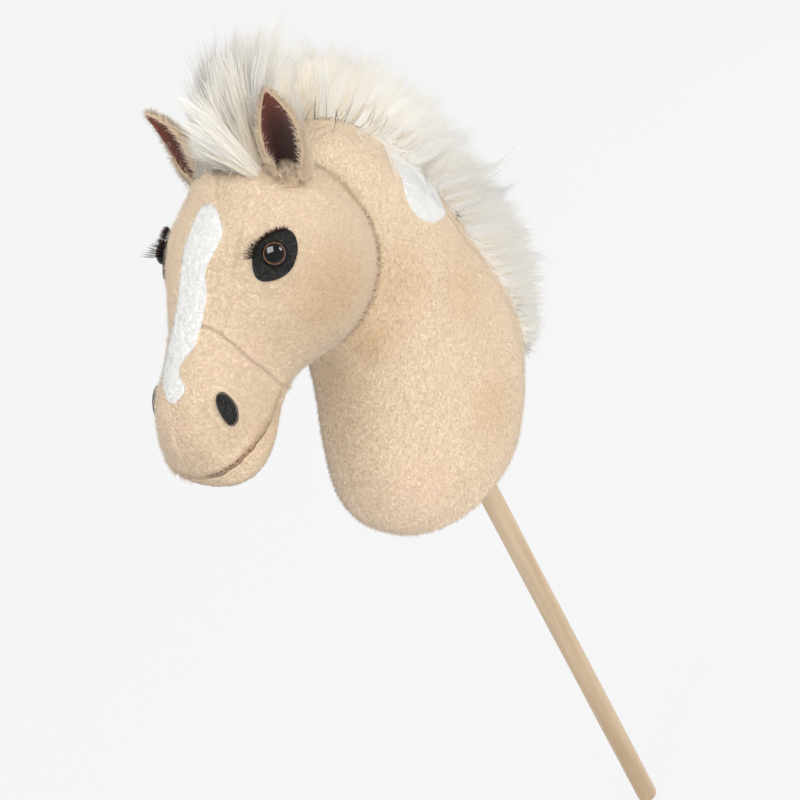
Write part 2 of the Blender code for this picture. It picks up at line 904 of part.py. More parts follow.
def build_markings():
    """The white blaze down the nose and the white patch on each side of the neck."""
    lift = patch_lift
    blaze_low = degree_curve(
        (
            (-0.068, 86),
            (-0.045, 82),
            (-0.02, 78.5),
            (0.01, 75.5),
            (0.05, 73),
            (0.09, 73.5),
            (0.15, 76.5),
            (0.21, 79),
            (0.29, 74),
            (0.35, 72),
            (0.45, 71),
            (0.50, 71.5),
            (0.53, 75),
            (0.565, 83),
            (0.60, 85.5),
            (0.63, 83),
            (0.652, 77),
            (0.678, 73),
            (0.705, 77),
            (0.738, 86),
        ),
        muzzle_reach,
    )
    blaze_high = degree_curve(
        (
            (-0.068, 93),
            (-0.03, 95.5),
            (0.04, 97.5),
            (0.12, 100),
            (0.25, 100.5),
            (0.36, 102.5),
            (0.42, 107.5),
            (0.48, 115),
            (0.54, 122),
            (0.60, 123.5),
            (0.64, 117),
            (0.675, 106),
            (0.71, 98),
            (0.738, 92),
        ),
        muzzle_reach,
    )
    rows = span(-0.068 * muzzle_reach, 0.738 * muzzle_reach, 37)
    places = band_places(HEAD, blaze_low, blaze_high, rows, 5)
    upper = HEAD.layer(places, -lift - patch_thickness)
    blaze = shell("face_blaze", upper, HEAD.layer(places, -lift))
    dress(blaze, WHITE_PLUSH, 0.95)

    patch_low = degree_curve(
        ((0.605, 42), (0.620, 28), (0.650, 19), (0.690, 14.5), (0.735, 17.5), (0.780, 31), (0.812, 45)),
        neck_height,
    )
    patch_high = degree_curve(
        ((0.605, 52), (0.625, 61), (0.690, 62.5), (0.735, 57), (0.780, 50), (0.812, 47)),
        neck_height,
    )
    rows = span(0.605 * neck_height, 0.812 * neck_height, 11)
    places = band_places(NECK, patch_low, patch_high, rows, 6)
    layers = (NECK.layer(places, -lift - patch_thickness), NECK.layer(places, -lift))
    for side_name, side in SIDES:
        dress(shell("neck_patch_" + side_name, *layers, side), WHITE_PLUSH, 0.95)


def build_ears(grown_head, grown_neck):
    """Cupped ears, a plush outside and a velour lining, seated on the head."""
    root = HEAD.surface(ear_along, ear_angle)
    radius_curve = SmoothCurve([(-0.25, 0.013), (0.0, 0.0150), (0.25, 0.0175), (0.5, 0.0185), (1.0, 0.017)])
    half_turn = degree_curve(
        ((-0.25, 160), (0.0, 150), (0.25, 115), (0.5, 74), (0.75, 42), (0.92, 17), (1.0, 5))
    )
    rows = (-ear_root_depth / ear_height, 0.0, 0.12, 0.25, 0.38, 0.5, 0.62, 0.74, 0.85, 0.93, 1.0)

    def layer(stance, depth):
        axis = Vector((math.sin(stance.outward), -math.sin(stance.forward), 0))
        axis.z = math.sqrt(1 - axis.length_squared)
        opening = Vector((math.sin(stance.opening), -math.cos(stance.opening), 0))
        opening = (opening - axis * opening.dot(axis)).normalized()
        across = axis.cross(opening)
        grid = []
        for height in rows:
            radius = radius_curve.at(height)
            turn = half_turn.at(height)
            centre = root + axis * ear_height * height
            row = []
            for angle in span(-turn, turn, 13):
                reach = radius - depth
                row.append(centre - opening * reach * math.cos(angle) + across * reach * math.sin(angle))
            grid.append(row)
        return grid

    face = ear_skin_thickness + 1.5 * piece_gap
    pieces = (
        ("ear_shell_", 0, ear_skin_thickness, TAN_PLUSH),
        ("ear_lining_", face, face + ear_lining_thickness, BROWN_VELOUR),
    )
    for side_name, side in SIDES:
        stance = EAR_STANCES[side_name]
        for name, front, back, colour in pieces:
            ear = shell(name + side_name, layer(stance, front), layer(stance, back), side)
            cut(ear, grown_head, grown_neck)
            dress(ear, colour, 0.95)


def parting_cutter(name, front, back):
    """A block from front to back, as wide and high as the hair can reach."""
    bm = bmesh.new()
    bmesh.ops.create_cube(bm, size=1.0)
    size = Vector((2 * neck_height, back - front, 2 * neck_height))
    middle = Vector((0, (front + back) / 2, neck_base_height + neck_height))
    bmesh.ops.scale(bm, vec=size, verts=bm.verts)
    bmesh.ops.translate(bm, vec=middle, verts=bm.verts)
    mesh = bpy.data.meshes.new(name)
    bm.to_mesh(mesh)
    bm.free()
    return hide(place(name, mesh, cutters))


def build_hair(grown_head, grown_neck):
    """The mane along the crest and the forelock over the poll, each as one soft block of pile."""
    _, shoulder, upper, poll = neck_rows()
    stations = shoulder + upper[1:] + poll[1:]
    pile = SmoothCurve([(0.0, 0.22), (0.10, 0.50), (0.25, 0.85), (0.4, 1.0), (0.8, 1.0), (1.0, 0.90)])
    sweep = SmoothCurve([(0.0, 0.6), (0.25, 0.8), (0.6, 0.8), (0.85, 0.4), (1.0, 0.0)])
    roots = []
    tips = []
    for along in stations:
        u = (along - mane_start) / (neck_height - mane_start)
        border = MANE_BORDER.at(along)
        edge = border + NECK.gap_angle(along, border)
        comb = NECK.normal(along, TOP) - NECK.axis * mane_sweep * sweep.at(u)
        root_row = []
        tip_row = []
        for angle in span(edge, math.pi - edge, 9):
            side = math.cos(angle) / max(math.cos(edge), 0.05)
            root = NECK.point(along, angle, -hair_lift)
            direction = (comb + Vector((mane_spread * side, 0, 0))).normalized()
            length = mane_pile * pile.at(u) * (1 - 0.30 * side**2)
            root_row.append(root)
            tip_row.append(root + direction * length)
        roots.append(root_row)
        tips.append(tip_row)
    mane = shell("mane", tips, roots)
    front_box = parting_cutter("front_of_parting", poll_parting - neck_height, poll_parting + piece_gap)
    cut(mane, grown_head, front_box)
    dress(mane, CREAM_PILE, 1.0)

    roots = []
    tips = []
    for along in span(forelock_back, forelock_front, 7):
        u = (along - forelock_back) / (forelock_front - forelock_back)
        root_row = []
        tip_row = []
        for angle in span(TOP - forelock_half_angle, TOP + forelock_half_angle, 9):
            side = math.cos(angle) / math.sin(forelock_half_angle)
            root = HEAD.point(along, angle, -hair_lift)
            lean = Vector((forelock_spread * side, -forelock_lean * u, 1)).normalized()
            root_row.append(root)
            tip_row.append(root + lean * forelock_pile * (1 - 0.15 * side**2) * (1 - 0.35 * u**2))
        roots.append(root_row)
        tips.append(tip_row)
    forelock = shell("forelock", tips, roots)
    back_box = parting_cutter("behind_parting", poll_parting - piece_gap, poll_parting + neck_height)
    cut(forelock, grown_neck, back_box)
    dress(forelock, CREAM_PILE, 1.0)


def main():
    for item in list(bpy.data.objects):
        bpy.data.objects.remove(item)
    bpy.context.scene.collection.children.link(parts)
    bpy.context.scene.collection.children.link(cutters)
    grown_head, grown_neck, neck_inside = make_form_cutters()
    sleeve_bore = make_sleeve_cutter()
    shank_holes, washer_pockets = make_eye_cutters()
    build_stick()
    build_sleeve_and_collar()
    build_base_panel()
    build_neck_panels(grown_head)
    build_crest_panel(grown_head)
    build_head_panels(neck_inside, shank_holes)
    build_muzzle()
    build_fillings(sleeve_bore, washer_pockets)
    build_eyes()
    build_felt_spots()
    build_lashes()
    build_markings()
    build_ears(grown_head, grown_neck)
    build_hair(grown_head, grown_neck)


main()
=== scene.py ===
"""Looks of a hobby horse: a stuffed plush horse's head and neck on a wooden stick.

Metres, +Z up. The horse faces -Y and its left side is +X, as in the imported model, which gives
every place and size. The stuffed bodies are simulated cloth over the CAD solids, the plush and
the mane are real hairs, and the rest are turned or cut pieces.
"""

from __future__ import annotations

import logging
import math
from dataclasses import dataclass, field
from enum import Enum, StrEnum

import bmesh
import bpy
import numpy as np
from mathutils import Matrix, Vector, noise
from mathutils.bvhtree import BVHTree


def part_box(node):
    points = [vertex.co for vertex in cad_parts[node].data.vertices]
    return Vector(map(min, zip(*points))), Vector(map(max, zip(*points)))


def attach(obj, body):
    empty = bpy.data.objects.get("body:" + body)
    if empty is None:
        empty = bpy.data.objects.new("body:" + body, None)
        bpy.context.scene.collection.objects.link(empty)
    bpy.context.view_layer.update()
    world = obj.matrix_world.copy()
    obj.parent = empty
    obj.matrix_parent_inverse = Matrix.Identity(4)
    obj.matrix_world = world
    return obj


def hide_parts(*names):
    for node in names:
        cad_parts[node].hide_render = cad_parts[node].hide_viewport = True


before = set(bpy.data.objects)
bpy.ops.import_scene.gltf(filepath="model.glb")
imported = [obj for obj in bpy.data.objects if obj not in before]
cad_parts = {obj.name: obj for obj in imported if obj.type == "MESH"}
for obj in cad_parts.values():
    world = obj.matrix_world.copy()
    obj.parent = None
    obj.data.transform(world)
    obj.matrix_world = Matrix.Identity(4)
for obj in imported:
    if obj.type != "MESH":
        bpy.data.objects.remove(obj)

log = logging.getLogger("hobby_horse")

Colour = tuple[float, float, float]
Place = tuple[float, float, float]
Span = tuple[float, float]

CHEEKS = ("cheek_panel_left", "cheek_panel_right")
NECK_SIDES = ("neck_panel_left", "neck_panel_right")
WHITE_MARKS = ("face_blaze", "neck_patch_left", "neck_patch_right")
FELTS = ("eye_patch_left", "eye_patch_right", "nostril_left", "nostril_right")


class Side(StrEnum):
    """The horse's own left or right, as the nodes' names have it."""

    LEFT = "left"
    RIGHT = "right"

    @property
    def sign(self) -> float:
        """Which way the side lies along X."""
        return 1.0 if self is Side.LEFT else -1.0


class Area(StrEnum):
    """One of the three stuffed bodies."""

    NECK = "neck"
    HEAD = "head"
    LIP = "lip"


STICK_RADIUS = 0.011
STICK_TOP = 0.7817
STICK_EDGE_RADIUS = 0.005
NECK_BASE = 0.494
SLEEVE_OUTSIDE = 0.0128
SLEEVE_TOP = 0.7835
EYE_CENTRE = (0.07152, -0.13747, 0.85320)
EYE_NORMAL = (0.7459, -0.4699, 0.4721)
EYE_SEAT = 0.0024
EYE_RADIUS = 0.0105
EAR_ROOT = (0.05714, -0.06871, 0.89140)
EAR_OPENINGS = {Side.LEFT: math.radians(38), Side.RIGHT: math.radians(6)}
HEAD_MIDDLE = (0.0, -0.0905, 0.8207)
HEAD_FORWARD = (0.0, -0.8241, -0.5664)
UPWARD = (0.0, 0.0, 1.0)
NOISE_SEED = 1


def on_side(place: Place, side: Side) -> Place:
    """A place or direction of the horse's left side, as it is on the given side."""
    return (place[0] * side.sign, place[1], place[2])


def rgb(red: int, green: int, blue: int) -> Colour:
    """The linear colour of a screen colour given as three numbers up to 255."""
    shares = (red / 255, green / 255, blue / 255)
    return tuple(v / 12.92 if v <= 0.04045 else ((v + 0.055) / 1.055) ** 2.4 for v in shares)


class Shader:
    """A node material that ends in one Principled surface."""

    def __init__(self, name: str, roughness: float, fixed: dict[str, float] | None = None) -> None:
        """Starts the material with its surface and its output.

        Args:
            name: The material's name.
            roughness: The surface's roughness.
            fixed: Other sockets of the surface, by name, that are the same all over.
        """
        self.material = bpy.data.materials.new(name)
        self.material.use_nodes = True
        self.nodes = self.material.node_tree.nodes
        self.links = self.material.node_tree.links
        self.nodes.clear()
        self.surface = self.nodes.new("ShaderNodeBsdfPrincipled")
        output = self.nodes.new("ShaderNodeOutputMaterial")
        self.links.new(self.surface.outputs["BSDF"], output.inputs["Surface"])
        self.surface.inputs["Roughness"].default_value = roughness
        for socket, value in (fixed or {}).items():
            self.surface.inputs[socket].default_value = value

    def give(self, node: bpy.types.Node, socket: int | str, value: object) -> None:
        """Links a socket to another, or sets it to a number or a colour.

        Args:
            node: The node.
            socket: Its input, by place or name.
            value: A socket, a number or a colour.
        """
        target = node.inputs[socket]
        if isinstance(value, bpy.types.NodeSocket):
            self.links.new(value, target)
        elif isinstance(value, tuple) and target.type == "RGBA":
            target.default_value = (*value, 1.0)
        else:
            target.default_value = value

    def place(self, stretch: Place = (1, 1, 1), centre: Place = (0, 0, 0)) -> bpy.types.NodeSocket:
        """Object coordinates, centred and stretched.

        Args:
            stretch: How much each axis is stretched.
            centre: The point that becomes the origin.

        Returns:
            The coordinates.
        """
        coordinates = self.nodes.new("ShaderNodeTexCoord")
        mapping = self.nodes.new("ShaderNodeMapping")
        mapping.inputs["Scale"].default_value = stretch
        mapping.inputs["Location"].default_value = [-c * s for c, s in zip(centre, stretch)]
        self.links.new(coordinates.outputs["Object"], mapping.inputs["Vector"])
        return mapping.outputs["Vector"]

    def noise(self, scale: float, stretch: Place = (1, 1, 1), detail: float = 2.0) -> bpy.types.NodeSocket:
        """Noise over object coordinates, with this many lumps to a metre.

        Args:
            scale: How many lumps there are to a metre.
            stretch: How much each axis is stretched.
            detail: How much finer noise is added.

        Returns:
            A value from 0 to 1.
        """
        texture = self.nodes.new("ShaderNodeTexNoise")
        texture.inputs["Scale"].default_value = scale
        texture.inputs["Detail"].default_value = detail
        self.links.new(self.place(stretch), texture.inputs["Vector"])
        return texture.outputs["Fac"]

    def stripes(self, scale: float, direction: str, stretch: Place = (1, 1, 1)) -> bpy.types.NodeSocket:
        """Even stripes across one direction, as the threads of a weave.

        Args:
            scale: How close the stripes are.
            direction: The axis that they cross.
            stretch: How much each axis is stretched.

        Returns:
            A value from 0 to 1.
        """
        texture = self.nodes.new("ShaderNodeTexWave")
        texture.bands_direction = direction
        texture.inputs["Scale"].default_value = scale
        texture.inputs["Distortion"].default_value = 0.6
        texture.inputs["Detail"].default_value = 1.0
        self.links.new(self.place(stretch), texture.inputs["Vector"])
        return texture.outputs["Fac"]

    def attribute(self, name: str) -> bpy.types.NodeSocket:
        """One of the mesh's own number attributes.

        Args:
            name: The attribute's name.

        Returns:
            Its value.
        """
        reader = self.nodes.new("ShaderNodeAttribute")
        reader.attribute_name = name
        return reader.outputs["Fac"]

    def blend(self, factor: object, low: object, high: object) -> bpy.types.NodeSocket:
        """One colour turning into another as the factor goes from 0 to 1.

        Args:
            factor: From 0 to 1.
            low: The colour at 0.
            high: The colour at 1.

        Returns:
            The colour between them.
        """
        mix = self.nodes.new("ShaderNodeMix")
        mix.data_type = "RGBA"
        self.give(mix, 0, factor)
        self.give(mix, 6, low)
        self.give(mix, 7, high)
        return mix.outputs[2]

    def spread(self, value: object, low: float, high: float) -> bpy.types.NodeSocket:
        """A value from 0 to 1 stretched between two others.

        Args:
            value: From 0 to 1.
            low: What 0 becomes.
            high: What 1 becomes.

        Returns:
            The stretched value.
        """
        node = self.nodes.new("ShaderNodeMapRange")
        self.give(node, "Value", value)
        node.inputs["To Min"].default_value = low
        node.inputs["To Max"].default_value = high
        node.clamp = False
        return node.outputs["Result"]

    def contrast(self, value: object, low: float, high: float) -> bpy.types.NodeSocket:
        """The part of a value between low and high, stretched from 0 to 1.

        Args:
            value: Any value.
            low: What becomes 0.
            high: What becomes 1.

        Returns:
            A value from 0 to 1.
        """
        node = self.nodes.new("ShaderNodeMapRange")
        self.give(node, "Value", value)
        node.inputs["From Min"].default_value = low
        node.inputs["From Max"].default_value = high
        return node.outputs["Result"]

    def sums(self, operation: str, first: object, second: object) -> bpy.types.NodeSocket:
        """Arithmetic on two values.

        Args:
            operation: The Math node's operation.
            first: The first value.
            second: The second value.

        Returns:
            The result.
        """
        node = self.nodes.new("ShaderNodeMath")
        node.operation = operation
        self.give(node, 0, first)
        self.give(node, 1, second)
        return node.outputs[0]

    def brighten(self, colour: object, amount: object) -> bpy.types.NodeSocket:
        """A colour with its brightness multiplied.

        Args:
            colour: The colour.
            amount: What its brightness is multiplied by.

        Returns:
            The brighter or darker colour.
        """
        node = self.nodes.new("ShaderNodeHueSaturation")
        self.give(node, "Color", colour)
        self.give(node, "Value", amount)
        return node.outputs["Color"]

    def paint(self, colour: object) -> None:
        """Gives the surface its colour."""
        self.give(self.surface, "Base Color", colour)

    def emboss(self, height: bpy.types.NodeSocket, depth: float, strength: float = 0.6) -> None:
        """Raises the surface by a height from 0 to 1, this deep in metres.

        Args:
            height: The height, from 0 to 1.
            depth: How deep a height of 1 is, in metres.
            strength: How strongly it shows.
        """
        bump = self.nodes.new("ShaderNodeBump")
        bump.inputs["Strength"].default_value = strength
        bump.inputs["Distance"].default_value = depth
        self.links.new(height, bump.inputs["Height"])
        self.links.new(bump.outputs["Normal"], self.surface.inputs["Normal"])


@dataclass(frozen=True)
class PileFinish:
    """A pile fabric: the backing cloth and the hairs that stand on it.

    The hairs carry their place along the hair, their own shade and how far they lie in a darker
    or a pinker patch as attributes, and the cloth carries the last two. The darker patch is partly
    the plush's own tone and partly painted shade in creases, seams and hollows; the cloth's seam
    attribute darkens it with painted shade along the seams.
    """

    name: str
    root: Colour
    tip: Colour
    dark: Colour
    blush: Colour
    variation: float = 0.10
    sheen: float = 0.25

    def fixed(self) -> dict[str, float]:
        """The sockets that are the same for the cloth and the hairs."""
        return {"Sheen Weight": self.sheen, "Sheen Roughness": 0.5, "Specular IOR Level": 0.12}

    def tinted(self, shader: Shader, colour: object) -> bpy.types.NodeSocket:
        """The colour with the darker and the pinker patches worked in.

        Args:
            shader: The material that is being made.
            colour: The plain colour.

        Returns:
            The tinted colour.
        """
        darker = shader.blend(shader.attribute("dark"), colour, self.dark)
        return shader.blend(shader.attribute("blush"), darker, self.blush)

    def cloth(self) -> bpy.types.Material:
        """The backing cloth, speckled as the roots of the pile are.

        Returns:
            The material.
        """
        shader = Shader(self.name + "_cloth", 0.95, self.fixed())
        speckle = shader.noise(420, detail=3.0)
        patches = shader.noise(60, detail=2.0)
        base = shader.blend(shader.contrast(speckle, 0.35, 0.65), self.root, self.tip)
        tinted = self.tinted(shader, base)
        cloudy = shader.brighten(tinted, shader.spread(patches, 0.90, 1.06))
        # Painted shade: the seam attribute darkens the cloth along the seams' grooves.
        shader.paint(shader.brighten(cloudy, shader.spread(shader.attribute("seam"), 1.0, 0.50)))
        shader.emboss(speckle, 0.0012)
        return shader.material

    def hairs(self) -> bpy.types.Material:
        """The hairs, deeper in colour at the root.

        Returns:
            The material.
        """
        shader = Shader(self.name + "_hairs", 0.85, self.fixed())
        base = shader.blend(shader.attribute("along"), self.root, self.tip)
        tinted = self.tinted(shader, base)
        shade = shader.spread(shader.attribute("shade"), 1 - self.variation, 1 + self.variation)
        shader.paint(shader.brighten(tinted, shade))
        return shader.material


@dataclass(frozen=True)
class WoodFinish:
    """Bare sanded softwood with its grain along the stick."""

    pale: Colour = rgb(204, 182, 154)
    deep: Colour = rgb(179, 152, 121)

    def material(self) -> bpy.types.Material:
        """The wood's material.

        Returns:
            The material.
        """
        shader = Shader("bare_wood", 0.55)
        bands = shader.noise(70, stretch=(1, 1, 0.05), detail=3.0)
        fibres = shader.noise(1400, stretch=(1, 1, 0.02), detail=3.0)
        pores = shader.noise(2600, stretch=(1, 1, 0.05), detail=1.0)
        grain = shader.blend(shader.contrast(bands, 0.38, 0.66), self.pale, self.deep)
        fine = shader.spread(fibres, 0.93, 1.05)
        flecks = shader.spread(shader.contrast(pores, 0.62, 0.72), 1.0, 0.86)
        shader.paint(shader.brighten(grain, shader.sums("MULTIPLY", fine, flecks)))
        shader.emboss(fibres, 0.0002, 0.4)
        return shader.material


@dataclass(frozen=True)
class GlossFinish:
    """Smooth moulded plastic under a clear gloss, clouded a little inside."""

    name: str
    colour: Colour
    second: Colour
    roughness: float = 0.04
    specular: float = 0.30

    def material(self) -> bpy.types.Material:
        """The plastic's material.

        Returns:
            The material.
        """
        shader = Shader(self.name, self.roughness, {"Specular IOR Level": self.specular})
        cloud = shader.noise(500, detail=2.0)
        shader.paint(shader.blend(shader.contrast(cloud, 0.35, 0.7), self.colour, self.second))
        return shader.material


@dataclass(frozen=True)
class PlainPlasticFinish:
    """Milky moulded plastic with faint tool marks."""

    name: str
    colour: Colour

    def material(self) -> bpy.types.Material:
        """The plastic's material.

        Returns:
            The material.
        """
        shader = Shader(self.name, 0.4)
        marks = shader.noise(300, stretch=(1, 1, 0.2), detail=2.0)
        shader.paint(shader.brighten(self.colour, shader.spread(marks, 0.92, 1.05)))
        shader.emboss(marks, 0.0002, 0.3)
        return shader.material


@dataclass(frozen=True)
class TapeFinish:
    """Woven cotton tape, or thread where the weave is fine."""

    name: str
    colour: Colour
    threads: float = 900.0

    def material(self) -> bpy.types.Material:
        """The woven material.

        Returns:
            The material.
        """
        shader = Shader(self.name, 0.9, {"Sheen Weight": 0.2, "Sheen Roughness": 0.5})
        warp = shader.stripes(self.threads, "X")
        weft = shader.stripes(self.threads, "Y")
        weave = shader.sums("MULTIPLY", warp, weft)
        wear = shader.noise(120, detail=2.0)
        colour = shader.brighten(self.colour, shader.spread(weave, 0.82, 1.04))
        shader.paint(shader.brighten(colour, shader.spread(wear, 0.93, 1.05)))
        shader.emboss(weave, 0.0003)
        return shader.material


@dataclass(frozen=True)
class ShadedClothFinish:
    """Brushed cloth with random rubbed patches, darkened with painted shade where an attribute marks a
    hollow.
    """

    name: str
    colour: Colour
    deep: Colour

    def material(self) -> bpy.types.Material:
        """The cloth's material.

        Returns:
            The material.
        """
        shader = Shader(self.name, 0.9, {"Sheen Weight": 0.3, "Sheen Roughness": 0.4})
        nap = shader.noise(800, detail=3.0)
        rub = shader.noise(90, detail=2.0)
        # Painted shade: towards the deep colour where the attribute marks a hollow.
        mixed = shader.blend(shader.attribute("recess_shade"), self.colour, self.deep)
        worn = shader.brighten(mixed, shader.spread(rub, 0.85, 1.15))
        shader.paint(shader.brighten(worn, shader.spread(nap, 0.8, 1.2)))
        shader.emboss(nap, 0.0004)
        return shader.material


TAN_PLUSH = PileFinish(
    name="tan_plush",
    root=rgb(222, 196, 164),
    tip=rgb(241, 222, 197),
    dark=rgb(214, 182, 142),
    blush=rgb(236, 200, 184),
    variation=0.07,
)
WHITE_PILE = PileFinish(
    name="white_pile",
    root=rgb(236, 235, 231),
    tip=rgb(248, 247, 244),
    dark=rgb(225, 220, 216),
    blush=rgb(242, 232, 224),
    variation=0.04,
)
CREAM_PILE = PileFinish(
    name="cream_pile",
    root=rgb(237, 222, 197),
    tip=rgb(245, 240, 229),
    dark=rgb(226, 200, 162),
    # This colour is whiteness: the locks' own, and painted light on the lower mane.
    blush=rgb(255, 253, 248),
    variation=0.06,
)
BROWN_NAP = PileFinish(
    name="brown_nap",
    root=rgb(66, 28, 20),
    tip=rgb(136, 70, 47),
    # The dark colour is painted shade deep in the ear's cup.
    dark=rgb(46, 18, 14),
    blush=rgb(140, 80, 56),
    variation=0.2,
)
BLACK_NAP = PileFinish(
    name="black_nap",
    root=rgb(20, 20, 19),
    tip=rgb(45, 45, 43),
    dark=rgb(16, 16, 16),
    blush=rgb(60, 60, 58),
    variation=0.2,
)
LASH_FIBRE = PileFinish(
    name="lash_fibre",
    root=rgb(20, 15, 13),
    tip=rgb(36, 27, 23),
    dark=rgb(24, 18, 16),
    blush=rgb(120, 74, 48),
    variation=0.25,
    sheen=0.0,
)


@dataclass(frozen=True)
class Tint:
    """A soft round patch on both sides of the horse: of another shade, or of a depth in metres."""

    centre: Place
    reach: float
    weight: float

    def over(self, points: np.ndarray) -> np.ndarray:
        """How strong the patch is at each of the points.

        Args:
            points: The places.

        Returns:
            The patch's strength at each.
        """
        across = np.abs(points[:, 0]) - self.centre[0]
        back = points[:, 1] - self.centre[1]
        high = points[:, 2] - self.centre[2]
        return self.weight * np.exp(-(across**2 + back**2 + high**2) / self.reach**2)


DARK_TINTS = (
    Tint((0.088, -0.112, 0.792), 0.040, 0.75),
    Tint((0.068, -0.030, 0.745), 0.036, 0.55),
    Tint((0.064, 0.040, 0.685), 0.038, 0.45),
    Tint((0.073, 0.000, 0.577), 0.040, 0.45),
    Tint((0.048, -0.075, 0.712), 0.024, 0.65),
    Tint((0.030, -0.215, 0.722), 0.026, 0.55),
)
BLUSH_TINTS = (
    Tint((0.000, -0.272, 0.760), 0.022, 0.30),
    Tint((0.050, -0.192, 0.785), 0.018, 0.26),
    Tint((0.056, -0.112, 0.565), 0.045, 0.24),
)


def tint_weights(points: np.ndarray) -> tuple[np.ndarray, np.ndarray]:
    """How dark and how pink the plush is at each point, from 0 to 1.

    Args:
        points: The places.

    Returns:
        The darker patches' strength and the pinker ones', at each.
    """
    dark = np.clip(sum(tint.over(points) for tint in DARK_TINTS), 0, 1)
    blush = np.clip(sum(tint.over(points) for tint in BLUSH_TINTS), 0, 1)
    return dark, blush


def put_in_scene(name: str, mesh: bpy.types.Mesh, material: bpy.types.Material) -> bpy.types.Object:
    """Makes an object of a mesh whose corners are already in place.

    Args:
        name: The object's name.
        mesh: Its mesh.
        material: Its material.

    Returns:
        The object.
    """
    item = bpy.data.objects.new(name, mesh)
    mesh.name = name
    if mesh.materials:
        mesh.materials.clear()
    mesh.materials.append(material)
    bpy.context.scene.collection.objects.link(item)
    return item


def finish_piece(item: bpy.types.Object, body: str, slot: str, *nodes: str) -> bpy.types.Object:
    """Puts a piece on the body that carries it, hides the nodes that it stands for and logs its triangles.

    Args:
        item: The piece, in place.
        body: The CAD body that carries it.
        slot: Not used.
        nodes: The CAD nodes that it replaces.

    Returns:
        The same piece.
    """
    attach(item, body)
    if nodes:
        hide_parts(*nodes)
    triangles = sum(len(face.vertices) - 2 for face in item.data.polygons)
    log.info("%s: %d triangles on %s", item.name, triangles, body)
    return item


def to_mesh(bm: bmesh.types.BMesh, name: str, smooth: bool = True) -> bpy.types.Mesh:
    """Turns a bmesh into a mesh and frees it.

    Args:
        bm: The bmesh.
        name: The mesh's name.
        smooth: Whether its faces are shaded smooth.

    Returns:
        The mesh.
    """
    for face in bm.faces:
        face.smooth = smooth
    mesh = bpy.data.meshes.new(name)
    bm.to_mesh(mesh)
    bm.free()
    return mesh


def merged_nodes(*nodes: str) -> bmesh.types.BMesh:
    """A copy of CAD nodes as one bmesh, with their loose triangles joined up.

    Args:
        nodes: The nodes' names.

    Returns:
        The bmesh.
    """
    bm = bmesh.new()
    for node in nodes:
        bm.from_mesh(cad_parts[node].data)
    bmesh.ops.remove_doubles(bm, verts=bm.verts, dist=1e-5)
    return bm


def drop_inner_shells(bm: bmesh.types.BMesh) -> None:
    """Keeps only the largest connected shell of a bmesh.

    Args:
        bm: The bmesh, which is changed.
    """
    unseen = set(bm.verts)
    largest: set[bmesh.types.BMVert] = set()
    while unseen:
        shell = set()
        edge = [unseen.pop()]
        while edge:
            vert = edge.pop()
            shell.add(vert)
            for line in vert.link_edges:
                other = line.other_vert(vert)
                if other in unseen:
                    unseen.discard(other)
                    edge.append(other)
        if len(shell) > len(largest):
            largest = shell
    loose = [vert for vert in bm.verts if vert not in largest]
    bmesh.ops.delete(bm, geom=loose, context="VERTS")


def node_tree(*nodes: str) -> BVHTree:
    """A search tree over CAD nodes.

    Args:
        nodes: The nodes' names.

    Returns:
        The tree.
    """
    bm = merged_nodes(*nodes)
    tree = BVHTree.FromBMesh(bm)
    bm.free()
    return tree


def smooth_corners(item: bpy.types.Object, rounds: int, one_shell: bool = False) -> None:
    """Relaxes a mesh's corners towards their neighbours.

    Args:
        item: The object.
        rounds: How often.
        one_shell: Whether only its largest shell is kept.
    """
    bm = bmesh.new()
    bm.from_mesh(item.data)
    if one_shell:
        drop_inner_shells(bm)
    along = {"use_axis_x": True, "use_axis_y": True, "use_axis_z": True}
    for _ in range(rounds):
        bmesh.ops.smooth_vert(bm, verts=bm.verts, factor=0.5, **along)
    bm.to_mesh(item.data)
    bm.free()


def even_mesh(item: bpy.types.Object, voxel: float) -> None:
    """Remeshes an object in even squares.

    Args:
        item: The object.
        voxel: The squares' width.
    """
    remesh = item.modifiers.new("even_mesh", "REMESH")
    remesh.mode = "VOXEL"
    remesh.voxel_size = voxel
    apply_modifiers(item)


def subdivide(item: bpy.types.Object, levels: int) -> None:
    """Makes a mesh finer and rounder, and applies that.

    Args:
        item: The object.
        levels: How often each face is split.
    """
    finer = item.modifiers.new("finer", "SUBSURF")
    finer.levels = levels
    finer.render_levels = levels
    apply_modifiers(item)


def order_faces(bm: bmesh.types.BMesh) -> None:
    """Puts a spun shape's faces in the order of their corners, which is the same at every run.

    Args:
        bm: The bmesh, which is changed.
    """
    bm.verts.index_update()
    rank = len(bm.verts)
    corners = {face: [vert.index for vert in face.verts] for face in bm.faces}
    bm.faces.sort(key=lambda face: min(corners[face]) * rank + max(corners[face]))


def round_edges(bm: bmesh.types.BMesh, edges: list, radius: float, segments: int) -> None:
    """Rounds edges of a bmesh with an arc.

    Args:
        bm: The bmesh.
        edges: Its edges.
        radius: How far from the edge the rounding starts.
        segments: How many flats make it up.
    """
    bmesh.ops.bevel(
        bm,
        geom=edges,
        offset=radius,
        segments=segments,
        profile=0.5,
        affect="EDGES",
        material=-1,
    )


def evaluated(item: bpy.types.Object) -> bpy.types.Mesh:
    """A new mesh of the object with its modifiers applied."""
    graph = bpy.context.evaluated_depsgraph_get()
    return bpy.data.meshes.new_from_object(item.evaluated_get(graph), depsgraph=graph)


def apply_modifiers(item: bpy.types.Object) -> None:
    """Applies every modifier of the object to its mesh.

    Args:
        item: The object.
    """
    mesh = evaluated(item)
    item.modifiers.clear()
    item.data = mesh


